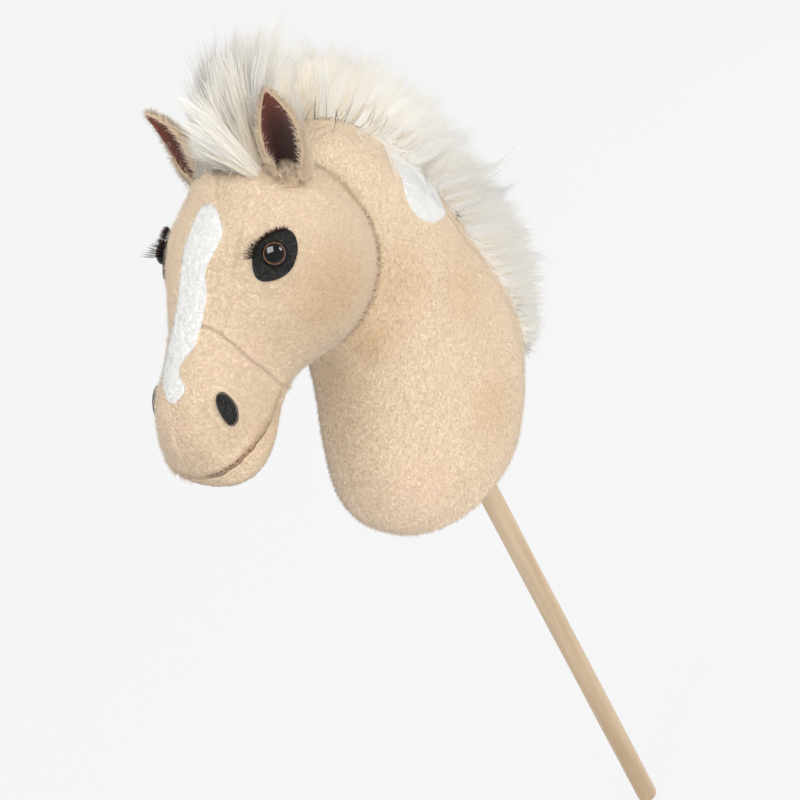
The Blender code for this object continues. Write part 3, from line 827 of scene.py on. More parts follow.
def cloth_copy(
    node: str,
    material: bpy.types.Material,
    flat: float,
    square: float,
) -> bpy.types.Object:
    """A rounder copy of a thin CAD node, with its triangles joined in pairs and then split.

    Args:
        node: The node's name.
        material: The copy's material.
        flat: The most degrees between two triangles that are joined.
        square: The most degrees that a joined face may be off square.

    Returns:
        The copy, which is not yet declared as a piece.
    """
    bm = merged_nodes(node)
    bmesh.ops.join_triangles(
        bm,
        faces=bm.faces,
        angle_face_threshold=math.radians(flat),
        angle_shape_threshold=math.radians(square),
    )
    item = put_in_scene(node + "_cloth", to_mesh(bm, node), material)
    subdivide(item, 2)
    return item


def corners_of(mesh: bpy.types.Mesh) -> tuple[np.ndarray, np.ndarray]:
    """The places and the normals of a mesh's corners.

    Args:
        mesh: The mesh.

    Returns:
        The places and the normals, a row for each corner.
    """
    places = np.empty(len(mesh.vertices) * 3)
    normals = np.empty(len(mesh.vertices) * 3)
    mesh.vertices.foreach_get("co", places)
    mesh.vertices.foreach_get("normal", normals)
    return places.reshape(-1, 3), normals.reshape(-1, 3)


def move_corners(mesh: bpy.types.Mesh, places: np.ndarray) -> None:
    """Puts a mesh's corners in new places."""
    mesh.vertices.foreach_set("co", places.ravel())
    mesh.update()


def add_values(mesh: bpy.types.Mesh, name: str, values: np.ndarray) -> None:
    """Stores one number for each corner of a mesh."""
    layer = mesh.attributes.new(name, "FLOAT", "POINT")
    layer.data.foreach_set("value", values.astype(np.float32))


def distances(points: np.ndarray, tree: BVHTree, reach: float) -> np.ndarray:
    """How far each point is from a shape, up to reach.

    Args:
        points: The places.
        tree: The shape.
        reach: The farthest distance that is told apart.

    Returns:
        The distance of each.
    """
    found = [tree.find_nearest(point, reach)[3] for point in points]
    return np.array([reach if distance is None else distance for distance in found])


def clear_of(points: np.ndarray, tree: BVHTree, gap: float) -> np.ndarray:
    """Whether each place is farther from a shape than the gap."""
    return distances(points, tree, 2 * gap) > gap


def covered(points: np.ndarray, facing: np.ndarray, tree: BVHTree) -> np.ndarray:
    """Whether a shape lies over each point, within a few millimetres.

    Args:
        points: Places on a surface.
        facing: The surface's direction there.
        tree: The shape.

    Returns:
        True where it is covered.
    """
    starts = points - facing * 0.002
    hits = [tree.ray_cast(start, line, 0.008)[0] for start, line in zip(starts, facing)]
    return np.array([hit is not None for hit in hits])


def unit(rows: np.ndarray) -> np.ndarray:
    """Each row made one long."""
    return rows / np.maximum(np.linalg.norm(rows, axis=-1, keepdims=True), 1e-9)


def ramp(values: np.ndarray, low: float, high: float) -> np.ndarray:
    """0 at low and beyond, 1 at high and beyond, with a straight rise between."""
    return np.clip((values - low) / (high - low), 0, 1)


def bell(values: np.ndarray, width: float) -> np.ndarray:
    """1 at zero, falling off softly on both sides over about this width."""
    return np.exp(-((values / width) ** 2))


@dataclass(frozen=True)
class HairShape:
    """One hair before it is laid: how often it can bend and how late it tapers."""

    cuts: int
    taper: float = 1.0

    def build(self) -> tuple[np.ndarray, np.ndarray]:
        """Makes the hair one long and one in radius, closed and three-sided.

        Returns:
            Its corners, and the corners of each of its triangles.
        """
        bm = bmesh.new()
        bmesh.ops.create_cone(bm, cap_ends=True, segments=3, radius1=1, radius2=0, depth=1)
        bmesh.ops.translate(bm, verts=bm.verts, vec=(0, 0, 0.5))
        for cut in range(self.cuts):
            bmesh.ops.bisect_plane(
                bm,
                geom=bm.verts[:] + bm.edges[:] + bm.faces[:],
                dist=1e-6,
                plane_co=(0, 0, (cut + 1) / (self.cuts + 1)),
                plane_no=(0, 0, 1),
            )
        bmesh.ops.triangulate(bm, faces=bm.faces)
        bm.verts.index_update()
        corners = np.array([vert.co[:] for vert in bm.verts])
        triangles = np.array([[vert.index for vert in face.verts] for face in bm.faces])
        bm.free()
        along = np.clip(corners[:, 2], 0, 1)
        width = (1 - along**self.taper) / np.maximum(1 - along, 1e-6)
        corners[:, :2] *= np.where(along < 0.999, width, 1)[:, None]
        return corners, triangles


@dataclass
class Strands:
    """Many hairs, a row for each: where they stand, how they run and how they look.

    Facing is the direction of the surface that they cover, which softens their shading.
    """

    root: np.ndarray
    facing: np.ndarray
    run: np.ndarray
    bend: np.ndarray
    width: np.ndarray
    shade: np.ndarray
    dark: np.ndarray
    blush: np.ndarray

    def part(self, rows: slice) -> Strands:
        """Some of the hairs."""
        return Strands(*(getattr(self, key)[rows] for key in Strands.__dataclass_fields__))

    def lengthen(self, share: np.ndarray) -> None:
        """Multiplies the length of each hair."""
        self.run *= share[:, None]
        self.bend *= share[:, None]

    def lay(
        self,
        name: str,
        shape: HairShape,
        material: bpy.types.Material,
        softness: float = 0.6,
    ) -> bpy.types.Object:
        """Copies one hair to every row.

        Args:
            name: The piece's name.
            shape: The hair that is copied.
            material: The hairs' material.
            softness: How far the hairs are shaded as the surface under them.

        Returns:
            The piece, with its attributes for the material.
        """
        corners, triangles = shape.build()
        count = len(self.root)
        along = corners[:, 2][None, :, None]
        axis = unit(self.run)
        aside = unit(np.cross(axis, np.where(np.abs(axis[:, 2:]) < 0.9, (0.0, 0.0, 1.0), (1.0, 0.0, 0.0))))
        across = np.cross(axis, aside)
        spine = self.root[:, None] + self.run[:, None] * along + self.bend[:, None] * along**2
        wide = self.width[:, None, None] * corners[None, :, :1]
        thick = self.width[:, None, None] * corners[None, :, 1:2]
        places = spine + aside[:, None] * wide + across[:, None] * thick
        starts = np.arange(count)[:, None, None] * len(corners)
        loops = (starts + triangles[None]).reshape(-1)
        mesh = bpy.data.meshes.new(name)
        mesh.vertices.add(count * len(corners))
        mesh.vertices.foreach_set("co", places.reshape(-1))
        mesh.loops.add(len(loops))
        mesh.loops.foreach_set("vertex_index", loops.astype(np.int32))
        mesh.polygons.add(len(loops) // 3)
        mesh.polygons.foreach_set("loop_start", np.arange(0, len(loops), 3, dtype=np.int32))
        mesh.update(calc_edges=True)
        add_values(mesh, "along", np.tile(corners[:, 2], count))
        for key in ("shade", "dark", "blush"):
            add_values(mesh, key, np.repeat(getattr(self, key), len(corners)))
        mesh.shade_smooth()
        around = aside[:, None] * corners[None, :, :1] + across[:, None] * corners[None, :, 1:2]
        round_way = unit(around + 1e-6 * axis[:, None])
        shading = round_way * (1 - softness) + self.facing[:, None] * softness
        mesh.normals_split_custom_set_from_vertices(unit(shading.reshape(-1, 3)))
        return put_in_scene(name, mesh, material)


def scatter(item: bpy.types.Object, count: int, rng: np.random.Generator) -> tuple[np.ndarray, np.ndarray]:
    """Even random places over an object's surface.

    Args:
        item: The object.
        count: How many places.
        rng: The source of chance.

    Returns:
        The places and the surface's direction there.
    """
    mesh = item.data
    mesh.calc_loop_triangles()
    places, normals = corners_of(mesh)
    picks = np.empty(len(mesh.loop_triangles) * 3, dtype=np.int32)
    mesh.loop_triangles.foreach_get("vertices", picks)
    first, second, third = picks.reshape(-1, 3).T
    across = places[second] - places[first]
    along = places[third] - places[first]
    total = np.cumsum(np.linalg.norm(np.cross(across, along), axis=1))
    marks = (np.arange(count) + rng.random(count)) / count * total[-1]
    chosen = np.minimum(np.searchsorted(total, marks), len(total) - 1)
    u = rng.random(count)[:, None]
    v = rng.random(count)[:, None]
    u, v = np.where(u + v > 1, 1 - u, u), np.where(u + v > 1, 1 - v, v)
    points = places[first[chosen]] + across[chosen] * u + along[chosen] * v
    facing = normals[first[chosen]] * (1 - u - v) + normals[second[chosen]] * u + normals[third[chosen]] * v
    return points, unit(facing)


@dataclass(frozen=True)
class HairCut:
    """How a short pile grows: its hairs' length, width, lean and unevenness."""

    length: float
    width: float
    lean: float
    scatter: float
    tangle: float = 0.0
    tangle_size: float = 0.004
    curl: float = 0.15
    least_rise: float = 0.25
    root_depth: float = 0.0003
    lengths: Span = (0.75, 1.25)
    widths: Span = (0.8, 1.2)
    own_shade: float = 0.24
    swirl_shade: float = 0.4
    speckle: float = 1.6
    speckle_size: float = 0.0021

    def grow(
        self,
        points: np.ndarray,
        facing: np.ndarray,
        nap: np.ndarray,
        rng: np.random.Generator,
    ) -> Strands:
        """Hairs at the given places.

        Args:
            points: Where they stand.
            facing: The surface's direction there.
            nap: The direction that the pile is brushed in there.
            rng: The source of chance.

        Returns:
            The hairs.
        """
        count = len(points)
        swirl = np.zeros((count, 3))
        if self.tangle:
            swirl = np.array([noise.noise_vector(Vector(point) / self.tangle_size)[:] for point in points])
        flat = nap - facing * np.sum(nap * facing, axis=1, keepdims=True)
        loose = rng.normal(0, self.scatter, (count, 3)) + swirl * self.tangle
        way = unit(facing * (1 - self.lean) + unit(flat) * self.lean + loose)
        rise = np.sum(way * facing, axis=1, keepdims=True)
        way = unit(way + facing * np.maximum(self.least_rise - rise, 0))
        length = self.length * rng.uniform(*self.lengths, count)
        shade = 0.5 + rng.normal(0, self.own_shade, count) + self.swirl_shade * swirl[:, 0]
        dark, blush = tint_weights(points)
        specks = np.array([noise.noise(Vector(point) / self.speckle_size) for point in points])
        dark *= 1 + self.speckle * specks
        return Strands(
            root=points - facing * self.root_depth,
            facing=facing,
            run=way * length[:, None],
            bend=(unit(flat) - facing) * length[:, None] * self.curl,
            width=self.width * rng.uniform(*self.widths, count),
            shade=np.clip(shade, 0, 1),
            dark=np.clip(dark, 0, 1),
            blush=blush,
        )


SHORT_HAIR = HairShape(cuts=0)
CURVED_HAIR = HairShape(cuts=1, taper=2.0)
LONG_HAIR = HairShape(cuts=2, taper=2.2)
HAIRS_PER_PIECE = 49000
ROWS_AT_A_TIME = 2000


def lay_in_pieces(
    hairs: Strands,
    name: str,
    shape: HairShape,
    material: bpy.types.Material,
    slot: str,
    per_piece: int = HAIRS_PER_PIECE,
    softness: float = 0.6,
) -> list[bpy.types.Object]:
    """Lays hairs as several pieces of a fair size, all on the head.

    Args:
        hairs: The hairs.
        name: The pieces' name, before their number.
        shape: The hair that is copied.
        material: The hairs' material.
        slot: The material slot, handed on to each piece.
        per_piece: The most hairs in one piece.
        softness: How far the hairs are shaded as the surface under them.

    Returns:
        The pieces.
    """
    count = len(hairs.root)
    pieces = math.ceil(count / per_piece)
    made = []
    for index in range(pieces):
        rows = slice(count * index // pieces, count * (index + 1) // pieces)
        label = name if pieces == 1 else f"{name}_{index + 1}"
        item = hairs.part(rows).lay(label, shape, material, softness)
        made.append(finish_piece(item, "head", slot))
    return made


@dataclass
class StuffedBody:
    """A stuffed plush body: the panels and filling as one cloth bag that swells and is sewn in."""

    name: str
    panels: tuple[str, ...]
    filling: tuple[str, ...]
    marks: tuple[str, ...]
    beside: tuple[str, ...] = ()
    voxel: float = 0.004
    shrink: float = 0.0035
    pile_room: float = 0.0010
    most_sink: float = 0.0035
    most_slide: float = 0.002
    mark_hold: Span = (0.003, 0.012)
    side_hold: Span = (0.002, 0.012)
    held_high: float = 0.0003
    held_low: float = 0.0006
    sleeve_wall: float = 0.006
    pressure: float = 4.0
    frames: int = 20
    cloth_quality: int = 4
    stretch_stiffness: float = 12
    bend_stiffness: float = 0.6
    seam_depth: float = 0.0022
    seam_width: float = 0.0022
    seam_reach: float = 0.012
    muzzle_edge: float = 0.004
    faint_seam: float = 0.35
    seams: bool = True
    hollow: Tint | None = None
    fill: float = 0.85

    def bag(self) -> bpy.types.Object:
        """The panels and filling remeshed as one even bag.

        Returns:
            The bag.
        """
        mesh = to_mesh(merged_nodes(*self.panels, *self.filling), self.name)
        item = put_in_scene(self.name, mesh, TAN_PLUSH.cloth())
        even_mesh(item, self.voxel)
        smooth_corners(item, 3, one_shell=True)
        return item

    def swell(self, item: bpy.types.Object) -> None:
        """Lets the bag swell under its stuffing, and keeps it near the CAD surface.

        Args:
            item: The bag.
        """
        start, facing = corners_of(item.data)
        move_corners(item.data, start - facing * self.shrink)
        scene = bpy.context.scene
        cloth = item.modifiers.new("stuffing", "CLOTH")
        cloth.settings.use_pressure = True
        cloth.settings.uniform_pressure_force = self.pressure
        cloth.settings.effector_weights.gravity = 0
        cloth.settings.quality = self.cloth_quality
        cloth.settings.tension_stiffness = self.stretch_stiffness
        cloth.settings.compression_stiffness = self.stretch_stiffness
        cloth.settings.bending_stiffness = self.bend_stiffness
        cloth.point_cache.frame_start = 1
        cloth.point_cache.frame_end = self.frames
        for step in range(1, self.frames + 1):
            scene.frame_set(step)
        swollen, _ = corners_of(evaluated(item))
        item.modifiers.clear()
        scene.frame_set(1)
        self.fit(item, start, facing, swollen)

    def fit(
        self,
        item: bpy.types.Object,
        start: np.ndarray,
        facing: np.ndarray,
        swollen: np.ndarray,
    ) -> None:
        """Caps how far each point has moved.

        Args:
            item: The bag.
            start: Where its points lie on the CAD surface.
            facing: The surface's direction there.
            swollen: Where the stuffing has pushed them.
        """
        near = distances(start, node_tree(*self.marks), self.mark_hold[1])
        free = ramp(near, *self.mark_hold)
        if self.beside:
            apart = distances(start, node_tree(*self.beside), self.side_hold[1])
            free = np.minimum(free, ramp(apart, *self.side_hold))
        most = -self.held_high - (self.pile_room - self.held_high) * free
        least = -self.held_low - (self.most_sink - self.held_low) * free
        out = np.sum((swollen - start) * facing, axis=1)
        along = (swollen - start) - facing * out[:, None]
        out = np.clip(out, least, most)
        if self.hollow is not None:
            out -= self.hollow.over(start)
        moved = start + facing * out[:, None] + np.clip(along, -self.most_slide, self.most_slide)
        beside_sleeve = np.hypot(start[:, 0], start[:, 1]) < SLEEVE_OUTSIDE + self.sleeve_wall
        beside_sleeve &= start[:, 2] < SLEEVE_TOP + self.sleeve_wall
        move_corners(item.data, np.where(beside_sleeve[:, None], start, moved))

    def sew(self, item: bpy.types.Object) -> None:
        """Draws the seams in, and darkens the cloth along them with painted shade, where two panels meet.

        Args:
            item: The body.
        """
        if not self.seams:
            return
        places, facing = corners_of(item.data)
        trees = [node_tree(panel) for panel in self.panels]
        each = np.array([distances(places, tree, self.seam_reach) for tree in trees])
        each.sort(axis=0)
        close = bell(each[1], self.seam_width)
        muzzle = distances(places, node_tree("muzzle_panel"), self.seam_reach)
        close *= np.where(muzzle < self.muzzle_edge, 1.0, self.faint_seam)
        move_corners(item.data, places - facing * self.seam_depth * close[:, None])
        # Painted shade along the seams, stored for the cloth's material.
        add_values(item.data, "seam", close**2)

    def build(self) -> bpy.types.Object:
        """Makes the body: swollen, sewn and shaded.

        Returns:
            The finished piece.
        """
        item = self.bag()
        self.swell(item)
        subdivide(item, 1)
        self.sew(item)
        dark, blush = tint_weights(corners_of(item.data)[0])
        add_values(item.data, "dark", dark)
        add_values(item.data, "blush", blush)
        item.data.shade_smooth()
        return finish_piece(item, "head", "tan_plush", *self.panels, *self.filling)


@dataclass
class Horse:
    """The stuffed head and neck with their short plush."""

    plush: HairCut = field(default_factory=lambda: HairCut(0.0050, 0.00028, 0.45, 0.30, 0.13, 0.0050))
    neck_hairs: int = 82000
    head_hairs: int = 88000
    lip_hairs: int = 13000
    overhang_hairs: int = 5200
    overhang_cut: HairCut = field(default_factory=lambda: HairCut(0.0066, 0.00028, 0.66, 0.24, 0.5, 0.003))
    overhang_tries: int = 600000
    overhang_reach: float = 0.0040
    overhang_underside: float = -0.75
    overhang_open: float = 0.85
    overhang_front: float = 0.28
    felt_gap: float = 0.0014
    long_pile_gap: float = 0.0009
    body_gap: float = 0.0006
    lip_gap: float = 0.0012
    hole_radius: float = 0.018
    neck_nap: Place = (0.0, -0.35, -1.0)
    head_fall: float = 0.9
    head_parting: float = 0.2
    mouth_nap_width: float = 0.008
    mouth_nap_fall: float = 0.3
    mouth_nap_hold: float = 0.7
    fade_reach: float = 0.014
    crease_width: float = 0.006
    crease_fade: Span = (0.90, 0.84)
    crease_painted_shade: float = 0.6
    crease_length: float = 0.9
    poll_rise: Span = (0.80, 0.86)
    poll_painted_light: float = 0.5
    lip_width: float = 0.005
    lip_length_share: float = 0.52
    lip_painted_shade: float = 0.45
    lip_painted_dimming: float = 0.95
    mouth_middle: float = -0.250
    mouth_length: float = 0.030
    mouth_side: float = 0.022
    mouth_front: float = 0.020
    seam_reach: float = 0.006
    seam_parting: float = 0.0032
    seam_shortening: float = 0.68
    seam_line: float = 0.0012
    seam_painted_shade: float = 0.8
    seam_painted_dimming: float = 0.9

    def bodies(self) -> dict[Area, bpy.types.Object]:
        """The three stuffed bodies: neck, head and lower lip.

        Returns:
            The bodies, by their area's name.
        """
        neck = StuffedBody(
            name="neck_body",
            panels=(*NECK_SIDES, "crest_panel", "base_panel"),
            filling=("neck_filling",),
            marks=("mane",),
            beside=(*CHEEKS, "forehead_panel", "throat_panel"),
            voxel=0.0045,
            hollow=Tint((0.0, -0.105, 0.705), 0.045, 0.007),
        )
        head = StuffedBody(
            name="head_body",
            panels=(*CHEEKS, "forehead_panel", "throat_panel", "muzzle_panel"),
            filling=("head_filling",),
            marks=(*FELTS, "forelock", "mouth_lining"),
            beside=NECK_SIDES,
        )
        lip = StuffedBody(
            name="lip_body",
            panels=("lower_lip",),
            filling=(),
            marks=("mouth_lining",),
            voxel=0.0027,
            shrink=0.0010,
            pile_room=0.0009,
            most_sink=0.0014,
            seams=False,
        )
        return {Area.NECK: neck.build(), Area.HEAD: head.build(), Area.LIP: lip.build()}

    def nap(self, points: np.ndarray, area: Area) -> np.ndarray:
        """The direction that the plush is brushed in.

        Args:
            points: Places on the plush.
            area: Which body they are on.

        Returns:
            A direction for each place.
        """
        if area is Area.NECK:
            return np.tile(self.neck_nap, (len(points), 1))
        over_mouth = bell(distances(points, node_tree("mouth_lining"), 0.02), self.mouth_nap_width)
        way = -np.array(HEAD_FORWARD) * (1 - self.mouth_nap_hold * over_mouth)[:, None]
        way[:, 2] -= self.head_fall + self.mouth_nap_fall * over_mouth
        way[:, 0] = np.sign(points[:, 0]) * self.head_parting
        return way

    def grow(self, bodies: dict[Area, bpy.types.Object]) -> None:
        """Grows the short plush on the bodies, apart from where a mark lies on it.

        The hairs get painted shade in the crease between head and neck, on the lower lip and along
        the muzzle's seam, and painted light over the crease near the poll.

        Args:
            bodies: The bodies, by their area's name.
        """
        felts = node_tree(*FELTS)
        patches = node_tree(*WHITE_MARKS)
        mouth = node_tree("mouth_lining")
        hair = node_tree("mane", "forelock")
        others = {
            Area.NECK: node_tree("head_filling", *CHEEKS, "throat_panel"),
            Area.HEAD: node_tree("neck_filling", *NECK_SIDES, "lower_lip"),
            Area.LIP: node_tree("head_filling", "mouth_lining"),
        }
        counts = {
            Area.NECK: self.neck_hairs,
            Area.HEAD: self.head_hairs,
            Area.LIP: self.lip_hairs,
        }
        material = TAN_PLUSH.hairs()
        for index, (area, item) in enumerate(bodies.items()):
            rng = np.random.default_rng(40 + index)
            points, facing = scatter(item, counts[area], rng)
            gap = self.lip_gap if area is Area.LIP else self.body_gap
            off_hole = np.hypot(points[:, 0], points[:, 1]) > self.hole_radius
            clear = off_hole & ~covered(points, facing, patches)
            clear &= clear_of(points, felts, self.felt_gap)
            clear &= clear_of(points, hair, self.long_pile_gap)
            clear &= clear_of(points, others[area], gap)
            clear |= off_hole & (points[:, 2] < NECK_BASE + 0.02)
            points = points[clear]
            hairs = self.plush.grow(points, facing[clear], self.nap(points, area), rng)
            crease = bell(distances(points, others[area], self.fade_reach), self.crease_width)
            # Painted shade: the hairs darken in the crease between head and neck, more lower down.
            hairs.dark += self.crease_painted_shade * crease * ramp(points[:, 2], *self.crease_fade)
            if area is Area.NECK:
                above = ramp(points[:, 2], *self.poll_rise)
                hairs.lengthen(1 + crease * above)
                # Painted light: the neck's hairs over the crease near the poll are brightened.
                hairs.shade += self.poll_painted_light * crease * above
            if area is Area.HEAD:
                lips = bell(distances(points, mouth, self.fade_reach), self.lip_width)
                longer_lips = lips * (0.5 - self.open_mouth(points))
                hairs.lengthen(1 + self.crease_length * crease + longer_lips)
                self.part_at_seam(hairs)
            if area is Area.LIP:
                hairs.lengthen(np.full(len(points), self.lip_length_share))
                # Painted shade: the lower lip is darkened as if the upper lip shaded it.
                hairs.dark += self.lip_painted_shade
                hairs.shade -= self.lip_painted_dimming
            hairs.dark = np.clip(hairs.dark, 0, 1)
            lay_in_pieces(hairs, f"{area}_plush", SHORT_HAIR, material, "tan_plush")

    def overhang(self, head: bpy.types.Object) -> None:
        """Longer plush on the upper lip, which hangs over the mouth and hides its ends.

        Args:
            head: The head's body.
        """
        rng = np.random.default_rng(50)
        mouth = node_tree("mouth_lining")
        lip = node_tree("lower_lip")
        points, facing = scatter(head, self.overhang_tries, rng)
        near = np.flatnonzero(~clear_of(points, mouth, self.overhang_reach))
        near = near[facing[near, 2] > self.overhang_underside]
        near = rng.permutation(near)[: self.overhang_hairs]
        points, facing = points[near], facing[near]
        across = np.array([lip.find_nearest(point)[0][:] for point in points]) - points
        nap = unit(across) + np.array((0.0, 0.0, -0.5))
        hairs = self.overhang_cut.grow(points, facing, nap, rng)
        front = bell(points[:, 0], self.mouth_front)
        shown = self.overhang_open * self.open_mouth(points)
        hairs.lengthen(1.0 - shown - self.overhang_front * front)
        lay_in_pieces(hairs, "lip_overhang", SHORT_HAIR, TAN_PLUSH.hairs(), "tan_plush")

    def open_mouth(self, points: np.ndarray) -> np.ndarray:
        """How far the mouth's slit is seen open at each place, from 0 to 1.

        Args:
            points: The places.

        Returns:
            A share for each.
        """
        along = bell(points[:, 1] - self.mouth_middle, self.mouth_length)
        return along * ramp(np.abs(points[:, 0]), 0, self.mouth_side)

    def part_at_seam(self, hairs: Strands) -> None:
        """Shortens the hairs along the muzzle's seam and darkens them there with painted shade.

        Args:
            hairs: The head's hairs, which are changed.
        """
        muzzle = distances(hairs.root, node_tree("muzzle_panel"), self.seam_reach)
        face = distances(hairs.root, node_tree(*CHEEKS, "forehead_panel"), self.seam_reach)
        apart = np.maximum(muzzle, face)
        hairs.lengthen(1 - self.seam_shortening * bell(apart, self.seam_parting))
        # Painted shade along the line of the seam.
        close = bell(apart, self.seam_line)
        hairs.dark += self.seam_painted_shade * close
        hairs.shade -= self.seam_painted_dimming * close


@dataclass
class Marking:
    """A thin cloth mark laid on the plush, with its own short pile."""

    node: str
    finish: PileFinish
    slot: str
    cut: HairCut
    hairs: int
    nap: Place
    let_in: bpy.types.Object | None = None
    top_height: float = 0.0007
    back_depth: float = 0.0009
    root_depth: float = 0.0004

    def lower(self, item: bpy.types.Object) -> None:
        """Lets the cloth down among the plush, so that the two piles mix at its edge.

        Args:
            item: The mark's cloth, which is changed.
        """
        body = BVHTree.FromObject(self.let_in, bpy.context.evaluated_depsgraph_get())
        places, normals = corners_of(item.data)
        for index, (place, normal) in enumerate(zip(places.copy(), normals)):
            seat, facing = body.find_nearest(place)[:2]
            upper = facing.dot(Vector(normal)) > 0.3
            places[index] = seat + facing * (self.top_height if upper else -self.back_depth)
        move_corners(item.data, places)

    def build(self) -> None:
        """Makes the mark from its CAD node, smoothed, and grows its pile."""
        item = cloth_copy(self.node, self.finish.cloth(), flat=20, square=40)
        if self.let_in is not None:
            self.lower(item)
        finish_piece(item, "head", self.slot, self.node)
        rng = np.random.default_rng(sum(map(ord, self.node)))
        points, facing = scatter(item, self.hairs, rng)
        top = np.sum(facing * self.outward(points), axis=1) > -0.2
        nap = np.tile(np.array(self.nap), (int(top.sum()), 1))
        hairs = self.cut.grow(points[top], facing[top], nap, rng)
        hairs.dark[:] = 0
        hairs.blush[:] = 0
        if self.let_in is not None:
            hairs.root -= facing[top] * self.root_depth
        lay_in_pieces(hairs, self.node + "_pile", SHORT_HAIR, self.finish.hairs(), self.slot)

    def outward(self, points: np.ndarray) -> np.ndarray:
        """The direction away from the middle of the head or neck at each place.

        Args:
            points: The places.

        Returns:
            A direction for each.
        """
        middle = points * (0.0, 1.0, 1.0)
        if "neck" in self.node:
            middle[:, 1] = 0.0
        else:
            along = (points - np.array(HEAD_MIDDLE)) @ np.array(HEAD_FORWARD)
            middle = np.array(HEAD_MIDDLE) + along[:, None] * np.array(HEAD_FORWARD)
        return unit(points - middle)


@dataclass
class LongPile:
    """A block of long pile: a soft core, the thick pile on it and the curved locks round it."""

    node: str
    seed: int
    locks: int
    strands: int
    under_hairs: int
    comb_back: float
    spread: float
    lean: Place = (0.0, 0.0, 0.0)
    upright: float = 0.0
    least_reach: float = 0.055
    front_edge: float = -1.0
    shaded_share: float = 0.0
    fullness: float = 1.07
    side_sweep: float = 0.0
    side_reach: float = 0.0
    most_out: float = 1.0
    fringe: Place = (0.0, 0.0, 0.0)
    fringe_depth: float = 0.022
    fringe_reach: float = 0.0
    fringe_band: Span = (-0.035, 0.015)
    fringe_painted_shade: float = 0.9
    far_band: Span = (0.010, -0.010)
    thick_shadow: bool = True
    near_side_gain: float = 0.0
    roundness: float = 1.0
    upturn: float = 0.55
    far_turn: float = 0.25
    half_width: float = 0.040
    root_band: float = 0.0022
    poll_front: Span = (0.035, -0.025)
    back_fall: Span = (0.86, 0.76)
    painted_light_band: Span = (0.90, 0.80)
    side_way: Place = (0.5, 0.45, -0.55)
    width: float = 0.00036
    clump: float = 0.50
    clump_spread: float = 0.22
    sunk: float = 0.004
    droop: float = 0.06
    lock_spread: float = 0.17
    tip_spread: float = 0.0055
    own_lengths: Span = (0.72, 1.06)
    lock_lengths: Span = (0.78, 1.14)
    wisp_lengths: Span = (1.05, 1.32)
    wisp_share: float = 0.14
    core_height: float = 0.62
    core_width: float = 0.55
    core_voxel: float = 0.0035
    low: Place = (-0.104, -0.290, 0.0)
    high: Place = (0.104, 0.207, 1.012)
    under_pile: HairCut = field(default_factory=lambda: HairCut(0.019, 0.00042, 0.60, 0.22, 0.5, 0.010))
    thick_batch: int = 19000
    lock_batch: int = 4200
    softness: float = 0.8
    tries: int = 10
    middle_share: float = 0.35
    far_fringe_cut: float = 0.85
    side_rise: Span = (0.57, 0.69)
    side_least: float = 0.2
    fringe_slope: float = 0.55
    fringe_least: float = 0.10
    missed_depth: float = 0.010
    rise: float = 0.25
    stray: float = 0.06
    widths: Span = (0.6, 1.4)
    hair_shades: float = 0.2
    lock_shades: float = 0.25
    lock_white: Span = (0.18, 0.25)
    wisp_white: float = 0.6
    low_painted_light: float = 0.4
    most_white: float = 0.8
    round_width: float = 0.030

    def build(self) -> None:
        """Makes the core and the locks."""
        skins = node_tree("crest_panel", "forehead_panel", *CHEEKS)
        rng = np.random.default_rng(self.seed)
        core = self.core(skins)
        points, facing = scatter(core, self.under_hairs, rng)
        under = self.under_pile.grow(points, facing, self.direction(points, skins), rng)
        under.dark[:] = 0
        under.blush[:] = 0
        hidden = ramp(points[:, 0], *self.far_band) * self.in_fringe(points)
        under.run *= (1 - self.far_fringe_cut * hidden)[:, None]
        material = CREAM_PILE.hairs()
        name = self.node + "_thick_pile"
        slot = "cream_pile"
        thick = lay_in_pieces(under, name, CURVED_HAIR, material, slot, self.thick_batch, self.softness)
        for item in thick:
            item.visible_shadow = self.thick_shadow
        block = put_in_scene(self.node + "_block", to_mesh(merged_nodes(self.node), self.node), material)
        points, facing = scatter(block, self.strands * self.tries, rng)
        tree = BVHTree.FromObject(block, bpy.context.evaluated_depsgraph_get())
        bpy.data.objects.remove(block)
        outer = ramp(np.abs(points[:, 0]), 0, self.half_width)
        wanted = rng.random(len(points)) < self.middle_share + (1 - self.middle_share) * outer**2
        wanted &= (points[:, 1] > self.front_edge) & (np.abs(points[:, 0]) < self.most_out)
        wanted &= ~clear_of(points, skins, self.root_band)
        rows = rng.permutation(np.flatnonzero(wanted))[: self.strands]
        roots = self.loosened(points[rows], skins, rng)
        way = self.direction(roots, skins)
        hairs = self.comb(roots, -facing[rows], way, tree, rng)
        name = self.node + "_locks"
        made = lay_in_pieces(hairs, name, LONG_HAIR, material, slot, self.lock_batch, self.softness)
        for index, item in enumerate(made):
            item.visible_shadow = index < self.shaded_share * len(made)
        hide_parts(self.node)

    def core(self, skins: BVHTree) -> bpy.types.Object:
        """The dense middle of the pile, as a smaller, rounder copy of the CAD block.

        Args:
            skins: The panels that the pile stands on.

        Returns:
            The finished piece.
        """
        bm = merged_nodes(self.node)
        bmesh.ops.subdivide_edges(bm, edges=bm.edges, cuts=1, use_grid_fill=True)
        for vert in bm.verts:
            inside = vert.co.copy()
            inside.x *= self.core_width
            inside.y = max(inside.y, self.front_edge + 0.25 * (inside.y - self.front_edge))
            seat = skins.find_nearest(inside)[0]
            vert.co = seat + (inside - seat) * self.core_height
        item = put_in_scene(self.node + "_core", to_mesh(bm, self.node), CREAM_PILE.cloth())
        even_mesh(item, self.core_voxel)
        smooth_corners(item, 8)
        item.data.shade_smooth()
        return finish_piece(item, "head", "cream_pile")

